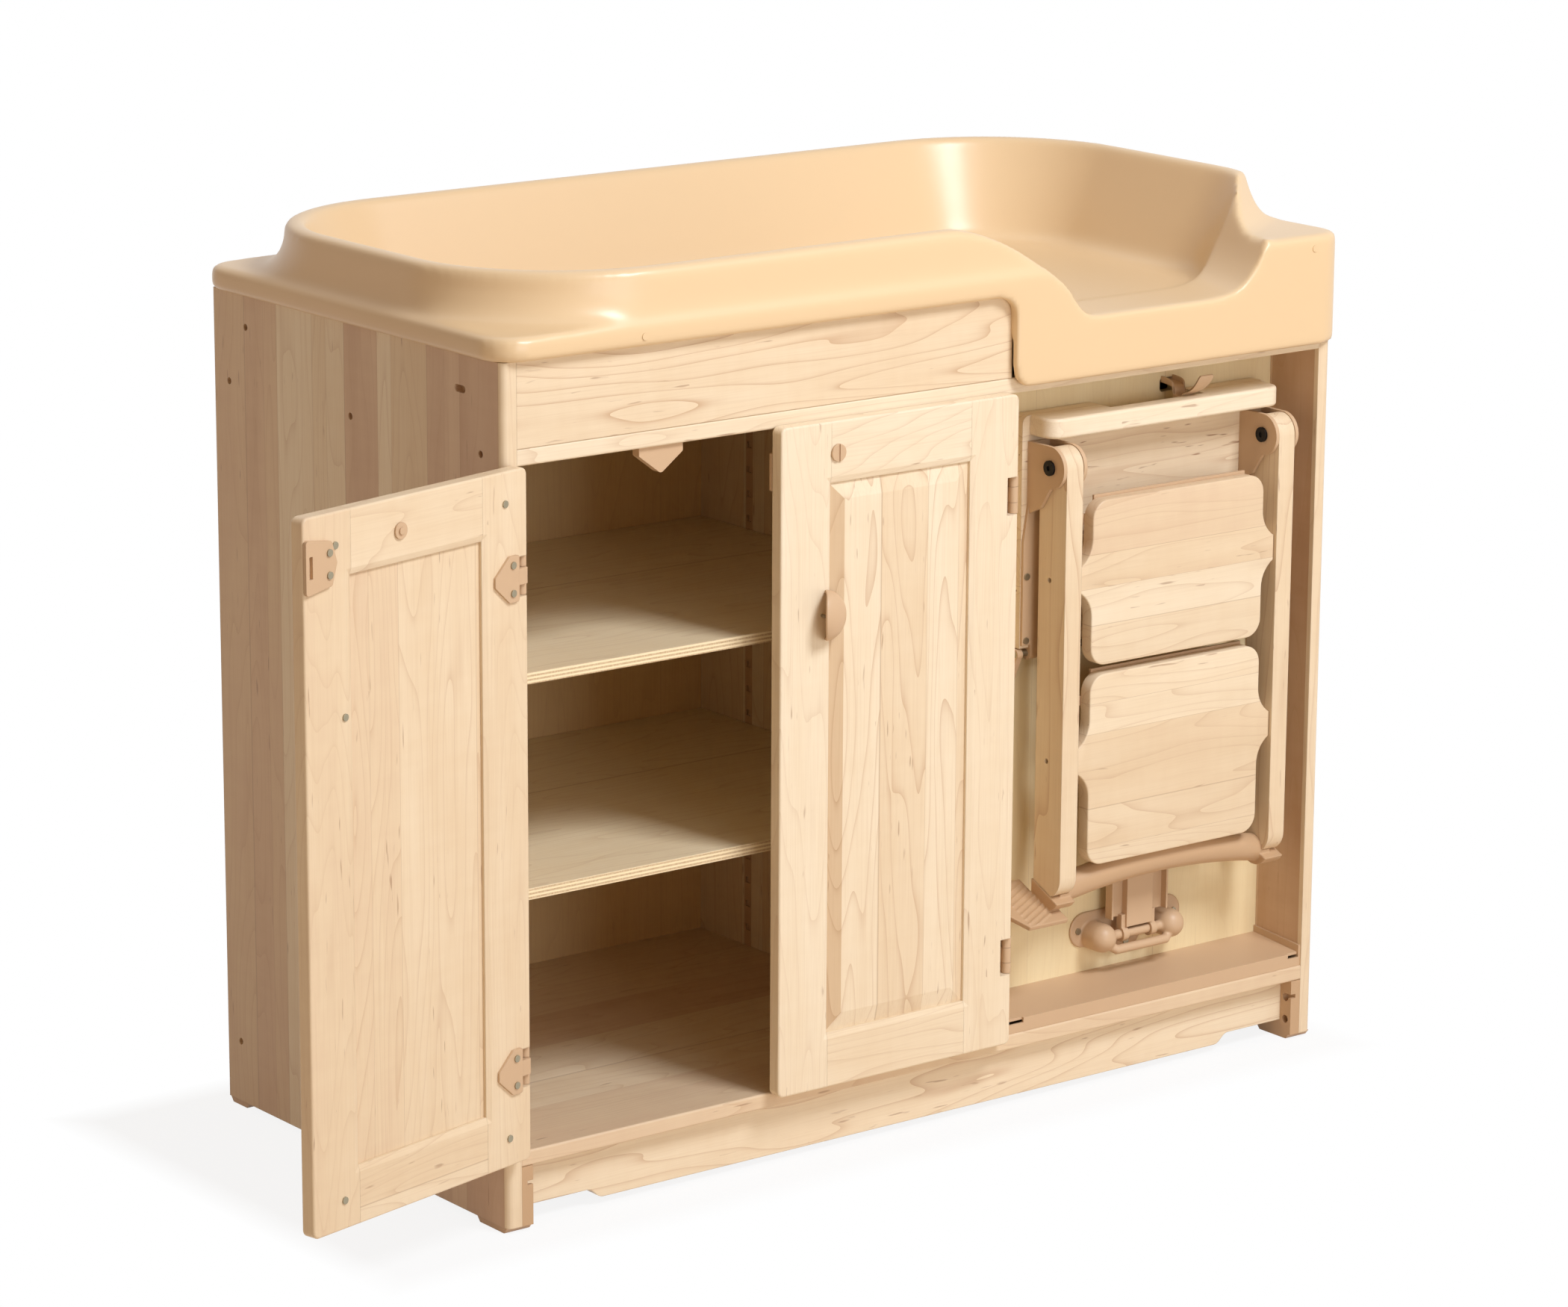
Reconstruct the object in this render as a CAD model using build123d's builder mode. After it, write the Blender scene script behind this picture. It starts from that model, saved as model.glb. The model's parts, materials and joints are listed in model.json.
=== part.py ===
from build123d import *
import os
from math import cos, radians, sin, tan

os.makedirs("parts", exist_ok=True)

# Changing table with a folding stair: a maple cabinet with shelves behind two doors, a moulded tub on top
# and a stair that folds out of a bay on the right.
# Frame: X runs right along the front, Y runs to the back, Z runs up. The origin is on the floor, in the
# middle of the sole of the front left foot. All sizes are in millimetres.

# Cabinet
cabinet_w = 1200
cabinet_d = 580
panel_t = 19
panel_edge_r = 8
toe_h = 75
toe_set = 19
deck_t = 18
opening_h = 769
rail_t = 19
apron_h = 95
back_t = 6
back_set = 6
bay_w = 477
bay_depth = 84
bay_panel_t = 12

# Feet
bracket_w = 15
sole_t = 6
sole_set = 3
sole_len = 57
sole_slope = 5
glide_len = 40

# Shelves and their standards
shelf_t = 13
shelf_set = 40
shelf_gap = 1
standard_w = 14
standard_t = 5
standard_front = 100
standard_rear = 463
notch_pitch = 30.5
notch_first = 28
notch_h = 8
notch_w = 9
notch_depth = 3
notch_row_count = 24
lower_row_count = 8
upper_row_count = 16
clip_reach = 9

# Doors
door_gap = 1.5
door_t = 18
door_meet_gap = 1.7
door_lap_low = 2
door_lap_high = 4
door_open_deg = 166.6
hinge_inset = 2.7
hinge_overlay = 4
stile_w = 70
top_member_h = 70
bottom_member_h = 65
corner_r = 8
edge_r = 2.5
frame_bevel_w = 7
frame_bevel_t = 2.5
panel_core_t = 6
tongue = 7
raised_field_t = 4.5
raised_slope_w = 20
seat_gap = 0.3

# Hinges
hinge_low = 107
hinge_drop = 118
hinge_h = 44
barrel_h = 18
barrel_r = 5.5
pin_r = 2
run_gap = 0.05
notch_reach = 16
leaf_t = 3
leaf_len = 38
leaf_half_h = 25.5
leaf_shoulder = 15
lug_t = 5.5
arm_w = 6

# Screws
screw_head_r = 4
screw_head_t = 1.6
screw_shank_r = 1.8
screw_len = 7

# Knobs, locks and catches
knob_r = 29.5
knob_h = 25
knob_wall = 4
knob_set = 48
knob_drop = 219
knob_boss_r = 6
lock_drop = 36
lock_left_set = 144
lock_right_set = 79
lock_r = 7
lock_head_r = 10
lock_head_t = 2.5
lock_slot_w = 2.6
lock_slot_t = 1.4
washer_r = 9
washer_t = 2
keeper_w = 59
keeper_h = 32
keeper_t = 12
keeper_set = 6
keeper_shoulder = 10
catch_drop = 52
catch_h = 59
catch_w = 46
catch_t = 4
catch_slot_w = 5
strip_h = 42
strip_w = 9

# Tub
tub_over_x = 12
tub_over_front = 14
tub_over_back = 12
skirt_corner_r = 40
rim_corner_r = 200
tub_ledge_h = 27
tub_rim_h = 84
rim_side_set = 20
rim_front_set = 9
tub_wall = 9
rim_roll = 12
bowl_depth = 122
bowl_side_slope = 46
bowl_floor_r = 34
dip_skirt_h = 106
dip_skirt_reach = 511
dip_skirt_wrap = 86
dip_skirt_r = 22
dip_low = 33
dip_left = 600
dip_left_run = 226
dip_right = 66
dip_right_run = 134
dip_flare = 28
dip_depth = 100
ear_lip_set = 88
ear_lip_depth = 33
ear_turn_deg = 34
ear_slope = 50
ear_reach = 160

# Stair: the folded unit stands upright in the bay
stair_mid = 965
rod_y = 66
rod_z = 533
rod_r = 4
rod_half = 195
stringer_t = 25
stringer_d = 48
stringer_gap = 306
pivot_y = 21
pivot_z = 762.6
sole_reach = 487
lean_deg = 24.8
heel_r = 26
cap_t = 14
cap_skin = 2
cap_lip = 8
bar_r = 17
bar_bow = 16
pedal_reach = 44
pedal_t = 6
rib_w = 2.5
rib_h = 1.2
rib_count = 9
bolt_r = 5
bolt_head_r = 9
bolt_head_t = 3
socket_r = 3
tread_t = 18
tread_half = 133.5
lobe_half = 151.5
tread_corner_r = 22
scallop_r = 16
lobe_tip_r = 1.5
tread_edge_r = 1.2
upper_pivot_z = 628
upper_top = 92
upper_bottom = 106
lower_pivot_z = 410
lower_top = 101
lower_bottom = 131
lobe_up = 22
lobe_down = 22
tread_pivot_y = 25
backing_t = 3
backing_half = 118
backing_lip = 3
ear_r = 6
ear_t = 6
stud_r = 3
link_rise = 68
link_shift = 3
link_t = 6
platform_t = 20
platform_front = 62
platform_half = 191.5
platform_low = 540
platform_top = 818
platform_corner_r = 10
nosing_half = 180.5
nosing_d = 40
nosing_t = 24
nosing_r = 20
nosing_edge_r = 4
scoop_half = 73
scoop_depth = 11
scoop_r = 10
scoop_d = 18
clevis_t = 5
clevis_r = 25
clevis_plate_t = 4
clevis_gap = 0.3
bracket_screw_low = 17
bracket_screw_high = 94
lug_r = 8
strap_rib_w = 41
strap_rib_d = 9.4
strap_flange_w = 24
strap_t = 2.6
strap_pivot_y = 62
strap_pivot_z = 162
strap_top_y = 47
strap_top_z = 460
strap_end_w = 34
mount_half = 88
mount_dome_r = 22
mount_dome_reach = 54
mount_bar_h = 12
mount_plate_t = 3
mount_low = 138

# Latch
latch_x = 1015
latch_w = 20
latch_t = 3
latch_pivot_y = 90
latch_pivot_z = 828
latch_dip_len = 8
latch_dip_z = 811
latch_rise_z = 821
latch_tip_y = 13
latch_tip_z = 845
latch_pin_r = 2
slot_w = 23
slot_h = 17

# Bay tray
tray_t = 3
tray_lip_h = 17
tray_back_h = 24
tray_end_h = 29
tray_front = 2
tray_end_w = 34
tray_step_w = 19

overrun = 1
rise_from = (Align.CENTER, Align.MIN)
quarter_turn = 90

# Main planes
x_left = -(panel_t + bracket_w) / 2
y_front = -(sole_set + sole_len / 2)
x_right = x_left + cabinet_w
x_in_left = x_left + panel_t
x_in_right = x_right - panel_t
bay_left = x_in_right - bay_w
divider_left = bay_left - panel_t
y_back = y_front + cabinet_d
y_inner_back = y_back - back_set - back_t
deck_low = toe_h
deck_top = deck_low + deck_t
rail_low = deck_top + opening_h
rail_top = rail_low + rail_t
panel_top = rail_top + apron_h
y_axis_door = y_front - door_gap - door_t / 2
x_axis_left = x_in_left - hinge_inset
x_axis_right = bay_left - hinge_overlay
door_low = deck_top - door_lap_low
door_h = opening_h + door_lap_low + door_lap_high
door_w = (x_axis_right - x_axis_left - door_meet_gap) / 2
hinge_heights = (hinge_low, door_h - hinge_drop)
knob_reach = door_w - knob_set
knob_z = door_h - knob_drop
lock_left_reach = door_w - lock_left_set
lock_right_reach = door_w - lock_right_set
lock_z = door_h - lock_drop
catch_z = door_h - catch_drop
x_mid = x_left + stair_mid
bay_panel_front = y_front + bay_depth


def at_x(x):
    """Plane across the cabinet at x: its own x is Y and its own y is Z."""
    return Plane.YZ.offset(x)


def at_y(y):
    """Plane facing the front at y: its own x is X and its own y is Z."""
    return Plane.XZ.offset(-y)


def at_z(z):
    return Plane.XY.offset(z)


def slab(x0, x1, y0, y1, z0, z1, mode=Mode.ADD):
    """A block between two corners, added to the part that is being built."""
    with Locations(((x0 + x1) / 2, (y0 + y1) / 2, (z0 + z1) / 2)):
        Box(x1 - x0, y1 - y0, z1 - z0, mode=mode)


def plate(points, plane, thickness, mode=Mode.ADD):
    """A flat piece with straight sides, extruded along the plane's normal."""
    with BuildSketch(plane, mode=Mode.PRIVATE) as outline:
        with BuildLine():
            Polyline(*points, close=True)
        make_face()
    extrude(outline.sketch, amount=thickness, mode=mode)


def disc(plane, x, y, radius, thickness, mode=Mode.ADD):
    """A round piece centred at x, y of the plane."""
    with BuildSketch(plane, mode=Mode.PRIVATE) as outline:
        with Locations((x, y)):
            Circle(radius)
    extrude(outline.sketch, amount=thickness, mode=mode)


def panel(plane, x0, x1, y0, y1, thickness, radius=0, mode=Mode.ADD):
    """A rectangle between two corners of the plane, with round corners where a radius is given."""
    with BuildSketch(plane, mode=Mode.PRIVATE) as outline:
        with Locations(((x0 + x1) / 2, (y0 + y1) / 2)):
            if radius:
                RectangleRounded(x1 - x0, y1 - y0, radius)
            else:
                Rectangle(x1 - x0, y1 - y0)
    extrude(outline.sketch, amount=thickness, mode=mode)


# Side panels, with the holes of the joining bolts in their outer faces
bolt_hole_r = 4
bolt_hole_t = 9
bolt_place_shares = (
    (0.07, 0.893),
    (0.51, 0.893),
    (0.947, 0.893),
    (0.883, 0.962),
    (0.952, 0.082),
    (0.07, 0.082),
)
slot_place_shares = (0.136, 0.96)
slot_len = 20
standard_places = (y_front + standard_front, y_front + standard_rear)


def side_panel(outer, inward):
    """One side panel, from its outer face towards the inside."""
    inner = outer + inward * panel_t
    panel(at_x(outer), y_front, y_back, sole_t, panel_top, inward * panel_t)
    for share_y, share_z in bolt_place_shares:
        spot_y = y_front + share_y * cabinet_d
        spot_z = share_z * panel_top
        disc(at_x(outer), spot_y, spot_z, bolt_hole_r, inward * bolt_hole_t, mode=Mode.SUBTRACT)
    with BuildSketch(at_x(outer), mode=Mode.PRIVATE) as slot:
        with Locations((y_front + slot_place_shares[0] * cabinet_d, slot_place_shares[1] * panel_top)):
            SlotOverall(slot_len, 2 * bolt_hole_r)
    extrude(slot.sketch, amount=inward * bolt_hole_t, mode=Mode.SUBTRACT)
    return inner


def hinge_mortise(x_axis, x0, x1):
    for height in hinge_heights:
        z = door_low + height
        low = z - hinge_h / 2
        slab(x0, x1, y_front - overrun, y_front + leaf_t, low, low + hinge_h, mode=Mode.SUBTRACT)


def standard_grooves(face, depth):
    for y in standard_places:
        x0 = min(face, face + depth)
        slab(x0, x0 + standard_t, y, y + standard_w, deck_top, rail_low, mode=Mode.SUBTRACT)


mortise_left = x_axis_left - 2 * arm_w

with BuildPart() as side_panel_left:
    side_panel(x_left, 1)
    fillet(side_panel_left.edges().filter_by(Axis.Z).group_by(Axis.Y)[0].sort_by(Axis.X)[0], panel_edge_r)
    hinge_mortise(x_axis_left, mortise_left, x_in_left)
    standard_grooves(x_in_left, -standard_t)
side_panel_left.part.label = "side_panel_left"

with BuildPart() as side_panel_right:
    side_panel(x_right, -1)
    fillet(side_panel_right.edges().filter_by(Axis.Z).group_by(Axis.Y)[0].sort_by(Axis.X)[-1], panel_edge_r)
side_panel_right.part.label = "side_panel_right"

with BuildPart() as divider_panel:
    slab(divider_left, bay_left, y_front, y_inner_back, deck_top, rail_low)
    hinge_mortise(x_axis_right, divider_left, bay_left)
    standard_grooves(divider_left, standard_t)
divider_panel.part.label = "divider_panel"

# Boards between the side panels
with BuildPart() as bottom_deck:
    slab(x_in_left, x_in_right, y_front, y_inner_back, deck_low, deck_top)
    fillet(bottom_deck.edges().filter_by(Axis.X).group_by(Axis.Y)[0], edge_r)
bottom_deck.part.label = "bottom_deck"

with BuildPart() as top_board:
    slab(x_in_left, x_in_right, y_front, y_inner_back, rail_low, rail_top)
    fillet(top_board.edges().filter_by(Axis.X).group_by(Axis.Y)[0], edge_r)
top_board.part.label = "top_board"

with BuildPart() as apron_board:
    slab(x_in_left, bay_left, y_front, y_front + panel_t, rail_top, panel_top)
apron_board.part.label = "apron_board"

with BuildPart() as back_panel:
    slab(x_in_left, x_in_right, y_inner_back, y_inner_back + back_t, deck_low, panel_top)
back_panel.part.label = "back_panel"

# Toe kick, cut up at both ends in an ogee over the feet
toe_mid_gap = 10
toe_end_gap = 22
toe_end_w = 85
ogee_w = 24
toe_left = x_in_left + bracket_w
toe_right = x_in_right - bracket_w

with BuildPart() as toe_kick_board:
    with BuildSketch(at_y(y_front + toe_set)):
        with BuildLine():
            for end, way in ((toe_left, 1), (toe_right, -1)):
                inner = end + way * toe_end_w
                Line((end, toe_h), (end, toe_end_gap))
                Line((end, toe_end_gap), (inner, toe_end_gap))
                Spline(
                    (inner, toe_end_gap),
                    (inner + way * ogee_w, toe_mid_gap),
                    tangents=((way, 0), (way, 0)),
                )
            low_left = toe_left + toe_end_w + ogee_w
            low_right = toe_right - toe_end_w - ogee_w
            Line((low_left, toe_mid_gap), (low_right, toe_mid_gap))
            Line((toe_left, toe_h), (toe_right, toe_h))
        make_face()
    extrude(amount=-panel_t)
toe_kick_board.part.label = "toe_kick_board"

# Bay back panel, with the slot that the latch hangs in
slot_x = x_left + latch_x
latch_z = latch_pivot_z
slot_low = latch_z - slot_h / 2 - latch_t

with BuildPart() as bay_back_panel:
    slab(bay_left, x_in_right, bay_panel_front, bay_panel_front + bay_panel_t, deck_top, rail_low)
    panel(
        at_y(bay_panel_front - overrun),
        slot_x - slot_w / 2,
        slot_x + slot_w / 2,
        slot_low,
        slot_low + slot_h,
        -(bay_panel_t + 2 * overrun),
        radius=slot_h / 4,
        mode=Mode.SUBTRACT,
    )
    disc(
        at_x(slot_x - latch_w),
        y_front + latch_pivot_y,
        latch_pivot_z,
        latch_pin_r + run_gap,
        2 * latch_w,
        mode=Mode.SUBTRACT,
    )
bay_back_panel.part.label = "bay_back_panel"

# Shelves on notched standards
notch_base = deck_top + notch_first
shelf_heights = (notch_base + lower_row_count * notch_pitch, notch_base + upper_row_count * notch_pitch)


def shelf(z):
    slab(
        x_in_left + shelf_gap,
        divider_left - shelf_gap,
        y_front + shelf_set,
        y_inner_back - shelf_gap,
        z,
        z + shelf_t,
    )


with BuildPart() as shelf_lower:
    shelf(shelf_heights[0])
shelf_lower.part.label = "shelf_lower"

with BuildPart() as shelf_upper:
    shelf(shelf_heights[1])
shelf_upper.part.label = "shelf_upper"

standard_faces = ((x_in_left, -1), (divider_left, 1))

with BuildPart() as shelf_standards:
    for face, depth_way in standard_faces:
        for y in standard_places:
            x0 = min(face, face + depth_way * standard_t)
            slab(x0, x0 + standard_t, y, y + standard_w, deck_top, rail_low)
    notches = []
    for face, depth_way in standard_faces:
        for y in standard_places:
            for row in range(notch_row_count):
                notch_mid = notch_base + row * notch_pitch - notch_h / 2
                notches.append((face + depth_way * notch_depth / 2, y + standard_w / 2, notch_mid))
    with Locations(*notches):
        Box(notch_depth, notch_w, notch_h, mode=Mode.SUBTRACT)
shelf_standards.part.label = "shelf_standards"

with BuildPart() as shelf_clips:
    for face, depth_way in standard_faces:
        for y in standard_places:
            notch_y = y + (standard_w - notch_w) / 2
            for top in shelf_heights:
                root = face + depth_way * notch_depth
                nose = face - depth_way * clip_reach
                heel = face
                plate(
                    (
                        (root, top),
                        (nose, top),
                        (nose, top - notch_h / 4),
                        (heel, top - notch_h),
                        (root, top - notch_h),
                    ),
                    at_y(notch_y),
                    -notch_w,
                )
shelf_clips.part.label = "shelf_clips"


# Feet: a moulded bracket inside each front corner, whose sole runs under the side panel
hook_r = 5
hook_drop = 22


def foot_bracket(outer, inner, way):
    """Bracket from the side panel's outer face to its inner face and on by bracket_w."""
    x0 = min(outer, inner + way * bracket_w)
    x1 = max(outer, inner + way * bracket_w)
    y0 = y_front + sole_set
    plate(
        ((y0, sole_t), (y0 + sole_slope, 0), (y0 + sole_len - sole_slope, 0), (y0 + sole_len, sole_t)),
        at_x(x0),
        x1 - x0,
    )
    b0 = min(inner, inner + way * bracket_w)
    slab(b0, b0 + bracket_w, y_front, y0 + sole_len, sole_t, toe_h)
    # a round hole and an open hook slot in the face that looks into the toe space
    face = inner + way * bracket_w
    disc(at_x(face), y_front + toe_set / 2, toe_h / 3, hook_r, -way * bracket_w / 2, mode=Mode.SUBTRACT)
    hook_z = toe_h - hook_drop
    disc(at_x(face), y_front + toe_set / 2, hook_z, hook_r, -way * bracket_w / 2, mode=Mode.SUBTRACT)
    half = bracket_w / 2
    h0 = min(face, face - way * half)
    slab(h0, h0 + half, y_front - overrun, y_front + toe_set / 2, hook_z, hook_z + hook_r, mode=Mode.SUBTRACT)


with BuildPart() as foot_bracket_left:
    foot_bracket(x_left, x_in_left, 1)
foot_bracket_left.part.label = "foot_bracket_left"

with BuildPart() as foot_bracket_right:
    foot_bracket(x_right, x_in_right, -1)
foot_bracket_right.part.label = "foot_bracket_right"

with BuildPart() as rear_glides:
    for x0 in (x_left, x_in_right):
        y1 = y_back - sole_set
        plate(
            ((y1, sole_t), (y1 - sole_slope, 0), (y1 - glide_len + sole_slope, 0), (y1 - glide_len, sole_t)),
            at_x(x0),
            panel_t,
        )
rear_glides.part.label = "rear_glides"


# Doors. Each is built on its own plane through the hinge axis: the plane's x runs from the hinge to the free
# edge, its y runs up from the door's lower edge, and depth is measured towards the door's outer face.
class DoorPlane:
    def __init__(self, x_axis, way, turn_deg):
        angle = radians(turn_deg)
        across = (way * cos(angle), way * sin(angle), 0)
        normal = (way * sin(angle), -way * cos(angle), 0)
        self.way = way
        self.base = Plane(origin=(x_axis, y_axis_door, door_low), x_dir=across, z_dir=normal)

    def at(self, depth):
        """Plane at a depth from mid-thickness, towards the outer face."""
        return self.base.offset(self.way * depth)

    def out(self, thickness):
        """Signed thickness for a piece that grows towards the outer face."""
        return self.way * thickness

    def upright(self, height):
        """Level plane on the hinge axis at a height above the door's lower edge."""
        return Plane(origin=(self.base.origin.X, self.base.origin.Y, door_low + height))

    def standing(self, reach, height):
        """Plane square to the door at its outer face: x runs to the free edge and y points outwards."""
        outward = self.base.z_dir * self.way
        spot = self.at(half_door).from_local_coords((reach, height, 0))
        return Plane(origin=spot, x_dir=self.base.x_dir, z_dir=self.base.x_dir.cross(outward))


left_door = DoorPlane(x_axis_left, 1, -door_open_deg)
right_door = DoorPlane(x_axis_right, -1, 0)
half_door = door_t / 2
opening_left = stile_w
opening_right = door_w - stile_w
opening_low = bottom_member_h
opening_high = door_h - top_member_h


def cut_opening_bevels(door):
    """Cut the sloped inner edge of the frame, front and back, mitred in the corners."""
    middle = (door_w / 2, (opening_low + opening_high) / 2)
    width = opening_right - opening_left
    height = opening_high - opening_low
    for side in (1, -1):
        with BuildSketch(door.at(side * (half_door - frame_bevel_t)), mode=Mode.PRIVATE) as low:
            with Locations(middle):
                Rectangle(width, height)
        with BuildSketch(door.at(side * half_door), mode=Mode.PRIVATE) as high:
            with Locations(middle):
                Rectangle(width + 2 * frame_bevel_w, height + 2 * frame_bevel_w)
        loft([low.sketch, high.sketch], mode=Mode.SUBTRACT)


def cut_panel_groove(door):
    reach = tongue + seat_gap
    panel(
        door.at(-panel_core_t / 2),
        opening_left - reach,
        opening_right + reach,
        opening_low - reach,
        opening_high + reach,
        door.out(panel_core_t),
        mode=Mode.SUBTRACT,
    )


def door_blank(door):
    """The door's outer shape with its rounded corners and edges."""
    panel(door.at(-half_door), 0, door_w, 0, door_h, door.out(door_t), radius=corner_r)
    return Axis((0, 0, 0), door.base.z_dir)


def cut_through(door, x0, x1, z0, z1):
    panel(
        door.at(-half_door - overrun),
        x0,
        x1,
        z0,
        z1,
        door.out(door_t + 2 * overrun),
        mode=Mode.SUBTRACT,
    )


def cut_hinge_notches(door):
    for height in hinge_heights:
        cut_through(door, -overrun, notch_reach, height - hinge_h / 2, height + hinge_h / 2)
        tab = (barrel_h + seat_gap) / 2
        panel(
            door.at(-half_door - overrun),
            notch_reach - overrun,
            notch_reach + leaf_t + seat_gap,
            height - tab,
            height + tab,
            door.out(lug_t + overrun),
            mode=Mode.SUBTRACT,
        )


# Places on the door, measured from the hinge and the lower edge
joint_screws = (
    (stile_w / 2, bottom_member_h / 2),
    (stile_w / 2, door_h - top_member_h / 2),
    (door_w - stile_w * 2 / 3, bottom_member_h / 2),
    (door_w - stile_w * 2 / 3, door_h - top_member_h / 2),
)
leaf_screw_x = notch_reach + leaf_shoulder * 2 / 3
leaf_screw_spread = leaf_half_h * 3 / 5
leaf_screws = tuple((leaf_screw_x, h + side * leaf_screw_spread) for h in hinge_heights for side in (-1, 1))
knob_screw = (knob_reach - knob_boss_r - knob_wall, knob_z)
catch_screw_x = door_w - catch_w * 3 / 4
catch_screw_spread = catch_h / 5
catch_screws = tuple((catch_screw_x, catch_z + side * catch_screw_spread) for side in (-1, 1))


def cut_door_screws(door, places):
    for x, z in places:
        disc(door.at(-half_door), x, z, screw_shank_r, door.out(screw_len), mode=Mode.SUBTRACT)


def make_stiles(door, with_catch):
    with BuildPart() as stiles:
        around = door_blank(door)
        fillet(stiles.edges().filter_by(around, reverse=True), edge_r)
        cut_through(door, opening_left, opening_right, -overrun, door_h + overrun)
        cut_panel_groove(door)
        cut_opening_bevels(door)
        cut_hinge_notches(door)
        cut_door_screws(door, joint_screws + leaf_screws + with_catch)
        disc(door.at(-half_door), *knob_screw, screw_shank_r, door.out(door_t), mode=Mode.SUBTRACT)
    return stiles


def make_members(door, lock_reach):
    with BuildPart() as members:
        around = door_blank(door)
        fillet(members.edges().filter_by(around, reverse=True), edge_r)
        cut_through(door, -overrun, opening_left, -overrun, door_h + overrun)
        cut_through(door, opening_right, door_w + overrun, -overrun, door_h + overrun)
        cut_through(door, opening_left - overrun, opening_right + overrun, opening_low, opening_high)
        cut_panel_groove(door)
        cut_opening_bevels(door)
        disc(door.at(-half_door), lock_reach, lock_z, lock_r + run_gap, door.out(door_t), mode=Mode.SUBTRACT)
    return members


def make_raised_panel(door):
    """Panel with a tongue all round and a raised, sloped field on the outer face."""
    middle = (door_w / 2, (opening_low + opening_high) / 2)
    width = opening_right - opening_left - 2 * seat_gap
    height = opening_high - opening_low - 2 * seat_gap
    with BuildPart() as field:
        panel(
            door.at(-panel_core_t / 2),
            opening_left - tongue,
            opening_right + tongue,
            opening_low - tongue,
            opening_high + tongue,
            door.out(panel_core_t),
        )
        with BuildSketch(door.at(panel_core_t / 2), mode=Mode.PRIVATE) as low:
            with Locations(middle):
                Rectangle(width, height)
        with BuildSketch(door.at(panel_core_t / 2 + raised_field_t), mode=Mode.PRIVATE) as high:
            with Locations(middle):
                Rectangle(width - 2 * raised_slope_w, height - 2 * raised_slope_w)
        loft([low.sketch, high.sketch])
    return field


def make_hinge_leaves(door):
    """The door's leaves: a plate on the inner face, a lug through the notch and a barrel round the pin."""
    tip = leaf_half_h / 5
    with BuildPart() as leaves:
        for height in hinge_heights:
            with BuildSketch(door.at(-half_door), mode=Mode.PRIVATE) as outline:
                with BuildLine():
                    Polyline(
                        (notch_reach, height - leaf_half_h),
                        (notch_reach + leaf_shoulder, height - leaf_half_h),
                        (notch_reach + leaf_len, height - tip),
                        (notch_reach + leaf_len, height + tip),
                        (notch_reach + leaf_shoulder, height + leaf_half_h),
                        (notch_reach, height + leaf_half_h),
                        close=True,
                    )
                make_face()
                fillet(outline.vertices(), leaf_t)
            extrude(outline.sketch, amount=door.out(-leaf_t))
            half = barrel_h / 2
            panel(door.at(-half_door), 0, notch_reach + leaf_t, height - half, height + half, door.out(lug_t))
            disc(door.upright(height - half), 0, 0, barrel_r, barrel_h)
            disc(door.upright(height - half), 0, 0, pin_r + run_gap, barrel_h, mode=Mode.SUBTRACT)
        for x, z in leaf_screws:
            disc(door.at(-half_door), x, z, screw_shank_r, door.out(-leaf_t), mode=Mode.SUBTRACT)
    return leaves


def make_knob(door):
    """A half dome, hollow and open towards the free edge, with a boss for its screw."""
    stand = door.standing(knob_reach, knob_z)
    outward = Axis(stand.origin, door.base.z_dir * door.way)
    with BuildPart() as dome:
        for radius, height, mode in (
            (knob_r, knob_h, Mode.ADD),
            (knob_r - knob_wall, knob_h - knob_wall, Mode.SUBTRACT),
        ):
            with BuildSketch(stand, mode=Mode.PRIVATE) as quarter:
                with BuildLine():
                    EllipticalCenterArc((0, 0), radius, height, start_angle=0, arc_size=quarter_turn)
                    Polyline((0, height), (0, 0), (radius, 0))
                make_face()
            revolve(quarter.sketch, axis=outward, mode=mode)
        panel(
            door.at(half_door - overrun),
            knob_reach,
            knob_reach + knob_r + overrun,
            knob_z - knob_r - overrun,
            knob_z + knob_r + overrun,
            door.out(knob_h + 2 * overrun),
            mode=Mode.SUBTRACT,
        )
        disc(door.at(half_door), *knob_screw, knob_boss_r, door.out(knob_h - 2 * knob_wall))
        disc(door.at(half_door), *knob_screw, screw_shank_r, door.out(screw_len), mode=Mode.SUBTRACT)
    return dome


def make_lock(door, reach):
    """A plug with a coin slot in front, and its washer and screw behind the door."""
    with BuildPart() as lock:
        head = door.at(half_door + seat_gap)
        disc(head, reach, lock_z, lock_head_r, door.out(lock_head_t))
        outward = Axis(head.origin, head.z_dir * door.way)
        fillet(lock.edges().filter_by(GeomType.CIRCLE).sort_by(outward)[-1], 2 * seat_gap)
        slot_base = door.at(half_door + seat_gap + lock_head_t - lock_slot_t)
        half = lock_slot_w / 2
        panel(
            slot_base,
            reach - half,
            reach + half,
            lock_z - lock_head_r,
            lock_z + lock_head_r,
            door.out(lock_slot_t + overrun),
            mode=Mode.SUBTRACT,
        )
        disc(door.at(-half_door - seat_gap), reach, lock_z, lock_r, door.out(door_t + 2 * seat_gap))
        disc(door.at(-half_door - seat_gap), reach, lock_z, washer_r, door.out(-washer_t))
        disc(door.at(-half_door - seat_gap - washer_t), reach, lock_z, screw_head_r, door.out(-screw_head_t))
    return lock


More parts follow.
